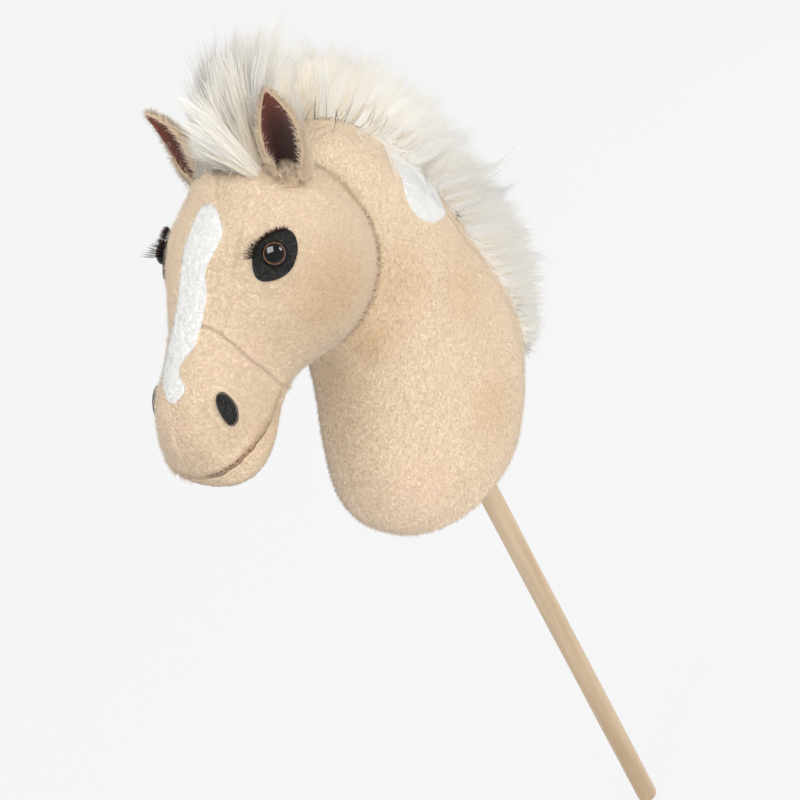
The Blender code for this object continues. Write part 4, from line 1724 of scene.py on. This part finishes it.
    def loosened(self, points: np.ndarray, skins: BVHTree, rng: np.random.Generator) -> np.ndarray:
        """The roots moved a little over the skin, so that the pile has no straight edge.

        Args:
            points: The roots.
            skins: The panels that they stand on.
            rng: The source of chance.

        Returns:
            The moved roots.
        """
        moved = points + rng.normal(0, self.root_band, (len(points), 3))
        seats = np.array([skins.find_nearest(point)[0][:] for point in moved])
        return seats + (points - seats) * 0.15

    def forward(self, points: np.ndarray) -> np.ndarray:
        """How near each place is to the poll's front, from 0 to 1."""
        return ramp(points[:, 1], *self.poll_front)

    def in_fringe(self, points: np.ndarray) -> np.ndarray:
        """How far each place belongs to the front edge's fringe, from 0 to 1."""
        return ramp(points[:, 1], self.front_edge + self.fringe_depth, self.front_edge)

    def direction(self, points: np.ndarray, skins: BVHTree) -> np.ndarray:
        """The way that the pile is combed at each place, away from the skin under it.

        Args:
            points: The places.
            skins: The panels under them.

        Returns:
            A direction for each.
        """
        below = np.array([skins.find_nearest(point)[1][:] for point in points])
        way = unit(below * (0.0, 1.0, 1.0)) * (1 - self.upright)
        way[:, 2] += self.upright
        way[:, 2] -= self.comb_back * ramp(points[:, 2], *self.back_fall)
        outer = np.clip(points[:, 0] / self.half_width, -1.2, 1.2)
        way[:, 0] = self.spread * outer
        swept = self.side_sweep * outer**2
        sideways = np.tile(self.side_way, (len(outer), 1))
        sideways[:, 0] *= np.sign(outer)
        way += swept[:, None] * sideways
        swung = ramp(points[:, 0], *self.fringe_band) * self.in_fringe(points)
        way += np.array(self.fringe) * swung[:, None]
        return unit(way + np.array(self.lean) * self.forward(points)[:, None])

    def comb(
        self,
        points: np.ndarray,
        facing: np.ndarray,
        way: np.ndarray,
        block: BVHTree,
        rng: np.random.Generator,
    ) -> Strands:
        """Gathers the hairs into pointed locks that fill the block.

        Args:
            points: The hairs' roots.
            facing: The surface's direction there.
            way: The way that they are combed.
            block: The block of pile.
            rng: The source of chance.

        Returns:
            The hairs.
        """
        count = len(points)
        heads = rng.choice(count, self.locks, replace=False)
        found = [
            block.ray_cast(Vector(point) + Vector(line) * self.sunk, Vector(line))[3]
            for point, line in zip(points, way)
        ]
        deep = np.array([depth or self.missed_depth for depth in found])
        deep = np.maximum(deep, self.least_reach * self.forward(points))
        deep *= 1 + self.near_side_gain * np.clip(points[:, 0] / self.half_width, -1, 1)
        near_side = 0.5 + self.fringe_slope * points[:, 0] / self.half_width
        fringe = self.fringe_reach * np.clip(near_side, self.fringe_least, 1)
        ahead = self.in_fringe(points)
        deep = deep * (1 - ahead) + fringe * ahead
        aside = ramp(np.abs(points[:, 0]), 0, self.half_width)
        risen = np.maximum(ramp(points[:, 2], *self.side_rise), self.side_least)
        deep = np.maximum(deep, self.side_reach * aside * risen)
        nearest = np.empty(count, dtype=np.int64)
        for start in range(0, count, ROWS_AT_A_TIME):
            rows = slice(start, start + ROWS_AT_A_TIME)
            gaps = np.linalg.norm(points[rows, None] - points[heads][None], axis=2)
            nearest[rows] = np.argmin(gaps, axis=1)
        deep *= self.fullness
        lock_way = unit(way[heads] + rng.normal(0, self.lock_spread, (self.locks, 3)))
        lock_reach = (deep[heads] + self.sunk) * rng.uniform(*self.lock_lengths, self.locks)
        wisps = rng.random(self.locks) < self.wisp_share
        wisp_reach = lock_reach * rng.uniform(*self.wisp_lengths, self.locks)
        lock_reach = np.where(wisps, wisp_reach, lock_reach)
        lock_tip = points[heads] + lock_way * lock_reach[:, None]
        own_reach = (deep + self.sunk) * rng.uniform(*self.own_lengths, count)
        own_tip = points + way * own_reach[:, None] + rng.normal(0, self.tip_spread, (count, 3))
        gather = np.clip(self.clump + rng.normal(0, self.clump_spread, count), 0, 0.97)[:, None]
        tip = np.clip(own_tip * (1 - gather) + lock_tip[nearest] * gather, self.low, self.high)
        length = np.linalg.norm(tip - points, axis=1, keepdims=True)
        risen_way = way * (1 - self.rise) + facing * self.rise
        run = unit(risen_way + rng.normal(0, self.stray, (count, 3))) * length
        bend = tip - points - run
        bend[:, 2] -= self.droop * length[:, 0] * rng.random(count)
        shade = 0.5 + rng.normal(0, self.hair_shades, count)
        shade += rng.normal(0, self.lock_shades, self.locks)[nearest]
        # Painted shade: the hairs of the front fringe are darkened.
        shade = np.clip(shade, 0, 1) - self.fringe_painted_shade * ahead
        # Each lock's and wisp's random whiteness is its own tone; the lower pile gets painted light as
        # extra whiteness.
        low_down = ramp(points[:, 2], *self.painted_light_band)
        whiteness_and_light = rng.normal(*self.lock_white, self.locks)[nearest] + self.wisp_white * wisps[nearest]
        whiteness_and_light = np.clip(whiteness_and_light + self.low_painted_light * low_down, 0, 1)
        outward = way.copy()
        outward[:, 0] += points[:, 0] / self.round_width * self.roundness
        outward[:, 0] = np.maximum(outward[:, 0], -self.far_turn)
        outward[:, 2] += self.upturn
        return Strands(
            root=points,
            facing=unit(outward),
            run=run,
            bend=bend,
            width=self.width * rng.uniform(*self.widths, count),
            shade=shade,
            dark=np.zeros(count),
            blush=whiteness_and_light * self.most_white,
        )


@dataclass
class Ear:
    """One cupped ear: the plush shell, its velour lining and the pile on both."""

    side: Side
    hairs: int = 15000
    lining_hairs: int = 7000
    outside_dark: float = 0.15
    tuft_hairs: int = 1900
    tuft_tries: int = 300000
    tuft_reach: float = 0.014
    tuft_ahead: float = 0.011
    tuft_shift: Place = (0.004, 0.004, 0.0)
    tuft_nap: Place = (0.1, 0.1, 1.0)
    tuft_dark: float = 0.5
    tuft_shade: float = 0.7
    cup_depth: float = 0.020
    outside: HairCut = field(default_factory=lambda: HairCut(0.0078, 0.00030, 0.46, 0.32, 0.7, 0.004))
    tuft: HairCut = field(default_factory=lambda: HairCut(0.0140, 0.00030, 0.52, 0.46, 0.9, 0.0045))
    inside: HairCut = field(default_factory=lambda: HairCut(0.0016, 0.00022, 0.60, 0.25, 0.9, 0.003))

    def opening(self) -> np.ndarray:
        """The way that the ear's opening faces.

        Returns:
            The direction.
        """
        turn = EAR_OPENINGS[self.side]
        return np.array((math.sin(turn) * self.side.sign, -math.cos(turn), 0.0))

    def depth_in_cup(self, points: np.ndarray) -> np.ndarray:
        """How deep in the ear's cup each place lies, from 0 at the rim to 1, for the lining's painted
        shade.

        Args:
            points: The places.

        Returns:
            A depth for each.
        """
        low, high = (np.array(corner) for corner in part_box("ear_lining_" + self.side))
        height = (points[:, 2] - low[2]) / (high[2] - low[2])
        out = (points - (low + high) / 2) @ self.opening()
        return np.clip(0.55 - out / self.cup_depth + 0.5 * (0.45 - height), 0, 1)

    def base_tuft(self, head: bpy.types.Object, rng: np.random.Generator) -> None:
        """Longer plush on the head that covers the foot of the ear's opening.

        Args:
            head: The head's body.
            rng: The source of chance.
        """
        foot = np.array(on_side(EAR_ROOT, self.side)) + self.opening() * self.tuft_ahead
        foot += np.array(on_side(self.tuft_shift, self.side))
        points, facing = scatter(head, self.tuft_tries, rng)
        near = np.flatnonzero(np.linalg.norm(points - foot, axis=1) < self.tuft_reach)
        near = rng.permutation(near)[: self.tuft_hairs]
        nap = np.tile(on_side(self.tuft_nap, self.side), (len(near), 1))
        hairs = self.tuft.grow(points[near], facing[near], nap, rng)
        hairs.dark += self.tuft_dark * rng.random(len(near)) ** 2
        hairs.shade -= self.tuft_shade * rng.random(len(near)) ** 3
        name = "ear_tuft_" + self.side
        lay_in_pieces(hairs, name, CURVED_HAIR, TAN_PLUSH.hairs(), "tan_plush", softness=0.3)

    def build(self, head: bpy.types.Object) -> None:
        """Makes the ear's two layers and their pile.

        Args:
            head: The head's body, which carries the tuft at the ear's foot.
        """
        shell_node = "ear_shell_" + self.side
        lining_node = "ear_lining_" + self.side
        shell = cloth_copy(shell_node, TAN_PLUSH.cloth(), flat=40, square=60)
        for key in ("dark", "blush"):
            add_values(shell.data, key, np.zeros(len(shell.data.vertices)))
        finish_piece(shell, "head", "tan_plush", shell_node)
        # Painted shade: the lining takes the deep colour deep in the cup, as its attribute below says.
        velour = ShadedClothFinish("ear_velour", rgb(126, 60, 42), rgb(50, 20, 14))
        lining = cloth_copy(lining_node, velour.material(), flat=40, square=60)
        places, _ = corners_of(lining.data)
        add_values(lining.data, "recess_shade", self.depth_in_cup(places))
        finish_piece(lining, "head", "brown_velour", lining_node)
        rng = np.random.default_rng(7 if self.side is Side.LEFT else 8)
        points, facing = scatter(shell, self.hairs, rng)
        clear = clear_of(points, node_tree(lining_node), 0.0007)
        nap = np.tile(UPWARD, (int(clear.sum()), 1))
        hairs = self.outside.grow(points[clear], facing[clear], nap, rng)
        hairs.dark[:] = self.outside_dark
        lay_in_pieces(hairs, f"ear_plush_{self.side}", SHORT_HAIR, TAN_PLUSH.hairs(), "tan_plush")
        points, facing = scatter(lining, self.lining_hairs, rng)
        clear = clear_of(points, node_tree(shell_node), 0.0009)
        nap = np.tile(UPWARD, (int(clear.sum()), 1))
        hairs = self.inside.grow(points[clear], facing[clear], nap, rng)
        # Painted shade: the lining's nap darkens deep in the cup.
        hairs.dark[:] = self.depth_in_cup(points[clear])
        hairs.blush[:] = 0
        lay_in_pieces(hairs, f"ear_nap_{self.side}", SHORT_HAIR, BROWN_NAP.hairs(), "brown_velour")
        self.base_tuft(head, rng)


@dataclass
class Eye:
    """One eye: the glossy dome with its copper ring, on black felt, with its lashes."""

    side: Side
    pupil_share: float = 0.70
    ring_share: float = 0.785
    rim_share: float = 0.905
    rim_height: float = 0.0016
    dome_height: float = 0.0065
    shank_radius: float = 0.0022
    shank_length: float = 0.010
    lashes: int = 190
    lash_tries: int = 14
    lash_tufts: int = 10
    tuft_lean: float = 0.22
    felt_edge: float = 0.0016
    lash_root: float = 0.0056
    lash_reach: float = 0.0125
    lash_widths: Span = (0.00020, 0.00034)

    @property
    def normal(self) -> Vector:
        """The way the eye looks."""
        return Vector(on_side(EYE_NORMAL, self.side)).normalized()

    def seat(self) -> Matrix:
        """Where the eye sits: its middle on the felt, looking along its own Z.

        Returns:
            The matrix that puts a shape there.
        """
        middle = Vector(on_side(EYE_CENTRE, self.side)) + self.normal * EYE_SEAT
        return Matrix.Translation(middle) @ self.normal.to_track_quat("Z", "Y").to_matrix().to_4x4()

    def profile(self) -> list[Place]:
        """Half the eye's outline, from the top of the dome to the end of the shank.

        Returns:
            The outline's corners.
        """
        steps = 20
        outline = []
        for step in range(steps + 1):
            turn = math.pi / 2 * step / steps
            height = self.rim_height + self.dome_height * math.cos(turn)
            outline.append((EYE_RADIUS * math.sin(turn), 0.0, height))
        outline += [(EYE_RADIUS, 0, 0), (self.shank_radius, 0, 0)]
        outline += [(self.shank_radius, 0, -self.shank_length), (0, 0, -self.shank_length)]
        return outline

    def dome(self) -> None:
        """Turns the dome and its shank, and gives the pupil, iris and ring their finishes."""
        bm = bmesh.new()
        verts = [bm.verts.new(place) for place in self.profile()]
        edges = [bm.edges.new(pair) for pair in zip(verts, verts[1:])]
        bmesh.ops.spin(
            bm,
            geom=verts + edges,
            cent=(0, 0, 0),
            axis=(0, 0, 1),
            angle=math.tau,
            steps=48,
            use_merge=True,
        )
        bmesh.ops.remove_doubles(bm, verts=bm.verts, dist=1e-6)
        bmesh.ops.recalc_face_normals(bm, faces=bm.faces)
        order_faces(bm)
        for face in bm.faces:
            middle = face.calc_center_median()
            out = math.hypot(middle.x, middle.y) / EYE_RADIUS
            zones = (self.pupil_share, self.ring_share, self.rim_share)
            face.material_index = sum(out >= share for share in zones) % 3
        bmesh.ops.transform(bm, matrix=self.seat(), verts=bm.verts)
        pupil = GlossFinish("eye_pupil", rgb(5, 5, 6), rgb(12, 10, 10))
        iris = GlossFinish("eye_iris", rgb(30, 16, 10), rgb(48, 26, 16))
        ring = GlossFinish("eye_ring", rgb(132, 92, 70), rgb(84, 52, 36), 0.3)
        item = put_in_scene("eye_dome_" + self.side, to_mesh(bm, "eye"), pupil.material())
        item.data.materials.append(iris.material())
        item.data.materials.append(ring.material())
        finish_piece(item, "head", "eye_plastic", "eye_" + self.side)

    def lash_line(self) -> None:
        """Fine lashes in tufts along the upper front edge of the felt."""
        node = "eyelash_" + self.side
        rng = np.random.default_rng(20 if self.side is Side.LEFT else 21)
        block = put_in_scene(node + "_block", to_mesh(merged_nodes(node), node), TAN_PLUSH.cloth())
        points, _ = scatter(block, self.lashes * self.lash_tries, rng)
        bpy.data.objects.remove(block)
        beside_felt = ~clear_of(points, node_tree("eye_patch_" + self.side), self.felt_edge)
        points = rng.permutation(points[beside_felt])[: self.lashes]
        count = len(points)
        middle = np.array(self.seat().translation)
        normal = np.array(self.normal)
        outward = points - middle
        outward -= normal * (outward @ normal)[:, None]
        outward = unit(outward)
        tuft = rng.integers(0, self.lash_tufts, count)
        lean = rng.normal(0, self.tuft_lean, (self.lash_tufts, 3))[tuft]
        ahead = np.clip(0.45 - outward[:, 1] - 0.6 * outward[:, 2], 0, 1)
        length = (self.lash_root + self.lash_reach * ahead * rng.uniform(0.6, 1.1, count))[:, None]
        run = unit(outward * 0.9 + normal * 0.75 + lean + rng.normal(0, 0.10, (count, 3))) * length
        hairs = Strands(
            root=points,
            facing=np.tile(normal, (count, 1)),
            run=run,
            bend=(normal * 0.3 - outward * 0.1) * length,
            width=rng.uniform(*self.lash_widths, count),
            shade=rng.random(count),
            dark=rng.random(count) * 0.7,
            blush=0.22 * (1 - ahead) * rng.random(count),
        )
        item = hairs.lay("lashes_" + self.side, LONG_HAIR, LASH_FIBRE.hairs())
        finish_piece(item, "head", "lash_fibre", node)

    def build(self) -> None:
        """Makes the felt, the eye and the lashes."""
        nap = HairCut(0.0013, 0.00016, 0.40, 0.45, 0.8, 0.003)
        Marking("eye_patch_" + self.side, BLACK_NAP, "black_felt", nap, 5200, (0.0, 0.4, -1.0)).build()
        self.dome()
        self.lash_line()


@dataclass
class Nostril:
    """One felt nostril with a rim of satin stitches."""

    side: Side
    thread_radius: float = 0.00055
    thread_out: float = 0.0002
    thread_up: float = 0.0003
    corners: int = 36
    least_step: float = 0.0015

    def rim(self) -> None:
        """A thin stitched cord round the felt's edge."""
        node = "nostril_" + self.side
        bm = merged_nodes(node)
        middle = sum((vert.co for vert in bm.verts), Vector()) / len(bm.verts)
        skin = node_tree("muzzle_panel")
        normal = skin.find_nearest(middle)[1]
        aside = normal.cross(Vector((0, 0, 1))).normalized()
        upward = aside.cross(normal)
        path = []
        for index in range(self.corners):
            turn = math.tau * index / self.corners
            ahead = aside * math.cos(turn) + upward * math.sin(turn)
            farthest = max(bm.verts, key=lambda vert: (vert.co - middle).dot(ahead + normal * 0.05))
            place = farthest.co + ahead * self.thread_out + normal * self.thread_up
            if not path or (path[-1] - place).length > self.least_step:
                path.append(place)
        bm.free()
        curve = bpy.data.curves.new("rim", "CURVE")
        curve.dimensions = "3D"
        curve.bevel_depth = self.thread_radius
        curve.bevel_resolution = 2
        curve.resolution_u = 6
        spline = curve.splines.new("BEZIER")
        spline.bezier_points.add(len(path) - 1)
        spline.use_cyclic_u = True
        for knot, place in zip(spline.bezier_points, path):
            knot.co = place
            knot.handle_left_type = "AUTO"
            knot.handle_right_type = "AUTO"
        cord = bpy.data.objects.new("rim", curve)
        bpy.context.scene.collection.objects.link(cord)
        mesh = evaluated(cord)
        bpy.data.objects.remove(cord)
        thread = TapeFinish("nostril_thread", rgb(62, 55, 48), 1400.0)
        item = put_in_scene("nostril_rim_" + self.side, mesh, thread.material())
        item.data.shade_smooth()
        finish_piece(item, "head", "black_felt")

    def build(self) -> None:
        """Makes the felt with its nap and the stitched rim."""
        nap = HairCut(0.0010, 0.00016, 0.40, 0.45, 0.8, 0.003)
        Marking("nostril_" + self.side, BLACK_NAP, "black_felt", nap, 1600, (0.0, 0.4, -1.0)).build()
        self.rim()


@dataclass
class Mouth:
    """The reddish cloth that shows in the mouth's slit."""

    middle: float = -0.228
    half_length: float = 0.045

    def build(self) -> None:
        """Makes the cloth from its CAD node."""
        bm = merged_nodes("mouth_lining")
        bmesh.ops.subdivide_edges(bm, edges=bm.edges, cuts=1, use_grid_fill=True)
        cloth = ShadedClothFinish("mouth_cloth", rgb(150, 88, 70), rgb(80, 42, 32))
        item = put_in_scene("mouth_cloth", to_mesh(bm, "mouth", smooth=False), cloth.material())
        places, _ = corners_of(item.data)
        # Painted shade: the cloth darkens towards the ends of the slit.
        ends = ramp(np.abs(places[:, 1] - self.middle), 0, self.half_length)
        add_values(item.data, "recess_shade", ends**2)
        finish_piece(item, "head", "mouth_fabric", "mouth_lining")


@dataclass
class Stick:
    """The bare wooden stick, its sleeve in the neck, and the hem tape round the hole."""

    collar_inside: float = 0.0113
    collar_width: float = 0.006
    collar_thickness: float = 0.0025
    collar_gap: float = 0.0003
    collar_edge: float = 0.0008

    def dowel(self) -> None:
        """One round dowel with rounded ends."""
        bm = bmesh.new()
        bmesh.ops.create_cone(
            bm,
            cap_ends=True,
            segments=64,
            radius1=STICK_RADIUS,
            radius2=STICK_RADIUS,
            depth=STICK_TOP,
        )
        bmesh.ops.translate(bm, verts=bm.verts, vec=(0, 0, STICK_TOP / 2))
        rims = [edge for edge in bm.edges if abs(edge.verts[0].co.z - edge.verts[1].co.z) < 1e-6]
        round_edges(bm, rims, STICK_EDGE_RADIUS, 6)
        item = put_in_scene("stick_dowel", to_mesh(bm, "stick"), WoodFinish().material())
        finish_piece(item, "stick", "wood", "stick")

    def collar(self) -> None:
        """The hem tape: a flat ring with rounded edges."""
        bm = bmesh.new()
        bmesh.ops.create_cone(
            bm,
            cap_ends=False,
            segments=72,
            radius1=self.collar_inside,
            radius2=self.collar_inside,
            depth=self.collar_thickness,
        )
        height = NECK_BASE - self.collar_gap - self.collar_thickness / 2
        bmesh.ops.translate(bm, verts=bm.verts, vec=(0, 0, height))
        bmesh.ops.recalc_face_normals(bm, faces=bm.faces)
        bmesh.ops.solidify(bm, geom=bm.faces[:], thickness=-self.collar_width)
        bmesh.ops.recalc_face_normals(bm, faces=bm.faces)
        rims = [edge for edge in bm.edges if edge.calc_face_angle(0.0) > 0.8]
        round_edges(bm, rims, self.collar_edge, 3)
        tape = TapeFinish("hem_tape", rgb(222, 200, 168))
        item = put_in_scene("collar_tape", to_mesh(bm, "collar"), tape.material())
        finish_piece(item, "head", "hem_tape", "base_collar")

    def build(self) -> None:
        """Makes the dowel and the tape, and finishes the sleeve where it is."""
        self.dowel()
        self.collar()
        finish_node("stick_sleeve", PlainPlasticFinish("sleeve_plastic", rgb(226, 226, 222)).material())


def finish_node(name: str, material: bpy.types.Material) -> None:
    """Gives a CAD node that stays a finish of its own.

    Args:
        name: The node's name.
        material: Its finish.
    """
    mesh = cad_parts[name].data
    if mesh.materials:
        mesh.materials[0] = material
    else:
        mesh.materials.append(material)
    log.info("%s: finished where it is", name)


class Reach(Enum):
    """What a lamp acts on."""

    SURFACES = "surfaces"
    MIRRORS = "mirrors"


@dataclass(frozen=True)
class Lamp:
    """A soft square lamp: where it hangs, its width in metres, its watts and what it acts on."""

    name: str
    place: Place
    size: float
    power: float
    reach: Reach


LAMPS = (
    Lamp("overhead", (0.10, -0.62, 2.15), 0.60, 9.0, Reach.SURFACES),
    Lamp("side", (1.45, 0.85, 1.40), 0.36, 6.5, Reach.SURFACES),
    Lamp("front", (0.30, -2.10, 1.20), 1.4, 4.0, Reach.SURFACES),
    Lamp("camera_fill", (2.3, -0.6, 1.2), 1.6, 17.0, Reach.SURFACES),
    Lamp("back", (-0.10, 1.90, 1.20), 1.2, 9.0, Reach.SURFACES),
    Lamp("window", (0.42, -0.60, 2.10), 0.95, 44.0, Reach.MIRRORS),
    Lamp("second_window", (1.45, 0.62, 1.55), 0.56, 18.0, Reach.MIRRORS),
)


@dataclass
class Studio:
    """The camera at the photograph's angle, the floor and the soft lights."""

    camera_place: Place = (1.2190, -0.9399, 1.4505)
    camera_back: Place = (0.7044, -0.5187, 0.4846)
    camera_up: Place = (-0.0616, 0.6354, 0.7697)
    lens: float = 82.17
    heart: Place = (0.03, -0.06, 0.74)
    paper: float = 0.92
    paper_glow: float = 0.94
    fill: float = 0.72

    def camera(self) -> None:
        """The camera, square to the photograph."""
        data = bpy.data.cameras.new("camera")
        data.lens = self.lens
        data.sensor_width = 36
        data.clip_start = 0.01
        item = bpy.data.objects.new("camera", data)
        back = Vector(self.camera_back).normalized()
        right = Vector(self.camera_up).cross(back).normalized()
        turn = Matrix((right, back.cross(right), back)).transposed()
        item.matrix_world = Matrix.Translation(self.camera_place) @ turn.to_4x4()
        bpy.context.scene.collection.objects.link(item)
        bpy.context.scene.camera = item

    def hang(self, lamp: Lamp) -> None:
        """Hangs a lamp so that it faces the horse.

        Args:
            lamp: The lamp.
        """
        data = bpy.data.lights.new(lamp.name, "AREA")
        data.shape = "SQUARE"
        data.size = lamp.size
        data.energy = lamp.power
        item = bpy.data.objects.new(lamp.name, data)
        item.location = lamp.place
        away = Vector(lamp.place) - Vector(self.heart)
        item.rotation_euler = away.to_track_quat("Z", "Y").to_euler()
        item.visible_glossy = lamp.reach is Reach.MIRRORS
        item.visible_diffuse = lamp.reach is Reach.SURFACES
        bpy.context.scene.collection.objects.link(item)

    def floor(self) -> None:
        """A wide pale floor that shows the paper's colour and keeps a faint shadow."""
        bm = bmesh.new()
        bmesh.ops.create_grid(bm, x_segments=1, y_segments=1, size=6.0)
        shader = Shader("pale_floor", 0.9)
        fibre = shader.noise(30, detail=2.0)
        tone = (self.paper, self.paper, self.paper)
        shader.paint(shader.brighten(tone, shader.spread(fibre, 0.995, 1.005)))
        glow = shader.nodes.new("ShaderNodeEmission")
        glow.inputs["Color"].default_value = (*tone, 1)
        glow.inputs["Strength"].default_value = 1.0
        path = shader.nodes.new("ShaderNodeLightPath")
        seen = shader.sums("MAXIMUM", path.outputs["Is Camera Ray"], path.outputs["Is Glossy Ray"])
        mix = shader.nodes.new("ShaderNodeMixShader")
        shader.links.new(shader.sums("MULTIPLY", seen, self.paper_glow), mix.inputs[0])
        shader.links.new(shader.surface.outputs["BSDF"], mix.inputs[1])
        shader.links.new(glow.outputs["Emission"], mix.inputs[2])
        output = next(node for node in shader.nodes if node.type == "OUTPUT_MATERIAL")
        shader.links.new(mix.outputs["Shader"], output.inputs["Surface"])
        put_in_scene("floor", to_mesh(bm, "floor"), shader.material)

    def world(self) -> None:
        """Even pale surroundings: soft fill for the object, paper for the camera."""
        world = bpy.data.worlds.new("surroundings")
        bpy.context.scene.world = world
        world.use_nodes = True
        nodes = world.node_tree.nodes
        links = world.node_tree.links
        nodes.clear()
        output = nodes.new("ShaderNodeOutputWorld")
        fill = nodes.new("ShaderNodeBackground")
        fill.inputs["Color"].default_value = (1.0, 1.0, 1.0, 1)
        fill.inputs["Strength"].default_value = self.fill
        paper = nodes.new("ShaderNodeBackground")
        paper.inputs["Color"].default_value = (self.paper, self.paper, self.paper, 1)
        path = nodes.new("ShaderNodeLightPath")
        mix = nodes.new("ShaderNodeMixShader")
        links.new(path.outputs["Is Camera Ray"], mix.inputs[0])
        links.new(fill.outputs["Background"], mix.inputs[1])
        links.new(paper.outputs["Background"], mix.inputs[2])
        links.new(mix.outputs["Shader"], output.inputs["Surface"])

    def build(self) -> None:
        """Sets up the whole studio."""
        self.camera()
        self.floor()
        self.world()
        for lamp in LAMPS:
            self.hang(lamp)
        bpy.context.scene.view_settings.view_transform = "Standard"


def clear_startup() -> None:
    """Removes what Blender's own first scene holds."""
    for name in ("Cube", "Light", "Camera"):
        item = bpy.data.objects.get(name)
        if item is not None:
            bpy.data.objects.remove(item)


def main() -> None:
    """Builds every piece in order."""
    logging.basicConfig(level=logging.INFO, format="%(message)s")
    clear_startup()
    noise.seed_set(NOISE_SEED)
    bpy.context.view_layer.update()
    Studio().build()
    Stick().build()
    horse = Horse()
    bodies = horse.bodies()
    horse.grow(bodies)
    horse.overhang(bodies[Area.HEAD])
    Mouth().build()
    white_cut = HairCut(0.0042, 0.00026, 0.50, 0.32, 0.5, 0.005)
    washer = PlainPlasticFinish("washer_plastic", rgb(224, 224, 220))
    up, down = (0.0, 0.6, 1.0), (0.0, 0.0, -1.0)
    Marking("face_blaze", WHITE_PILE, "white_pile", white_cut, 17000, up, bodies[Area.HEAD]).build()
    for side in Side:
        patch = "neck_patch_" + side
        Marking(patch, WHITE_PILE, "white_pile", white_cut, 8500, down, bodies[Area.NECK]).build()
        Eye(side).build()
        Nostril(side).build()
        Ear(side).build(bodies[Area.HEAD])
        finish_node("eye_washer_" + side, washer.material())
    LongPile(
        node="mane",
        seed=5,
        locks=1000,
        strands=23500,
        under_hairs=12000,
        comb_back=0.45,
        spread=0.46,
        lean=(-0.10, -0.10, 0.0),
        least_reach=0.066,
        side_sweep=0.65,
        side_reach=0.050,
        thick_shadow=False,
        roundness=0.6,
    ).build()
    LongPile(
        node="forelock",
        seed=6,
        locks=230,
        strands=8500,
        under_hairs=2600,
        comb_back=0.0,
        spread=0.28,
        lean=(0.16, 0.42, 0.0),
        upright=1.0,
        least_reach=0.092,
        front_edge=-0.093,
        fringe=(-0.84, -0.74, -0.26),
        fringe_reach=0.053,
        near_side_gain=0.24,
        roundness=0.5,
        upturn=-0.3,
        shaded_share=0.3,
        wisp_share=0.24,
        most_out=0.040,
        core_height=0.30,
        under_pile=HairCut(0.016, 0.00042, 0.80, 0.22, 0.4, 0.010),
    ).build()


if __name__ == "__main__":
    main()
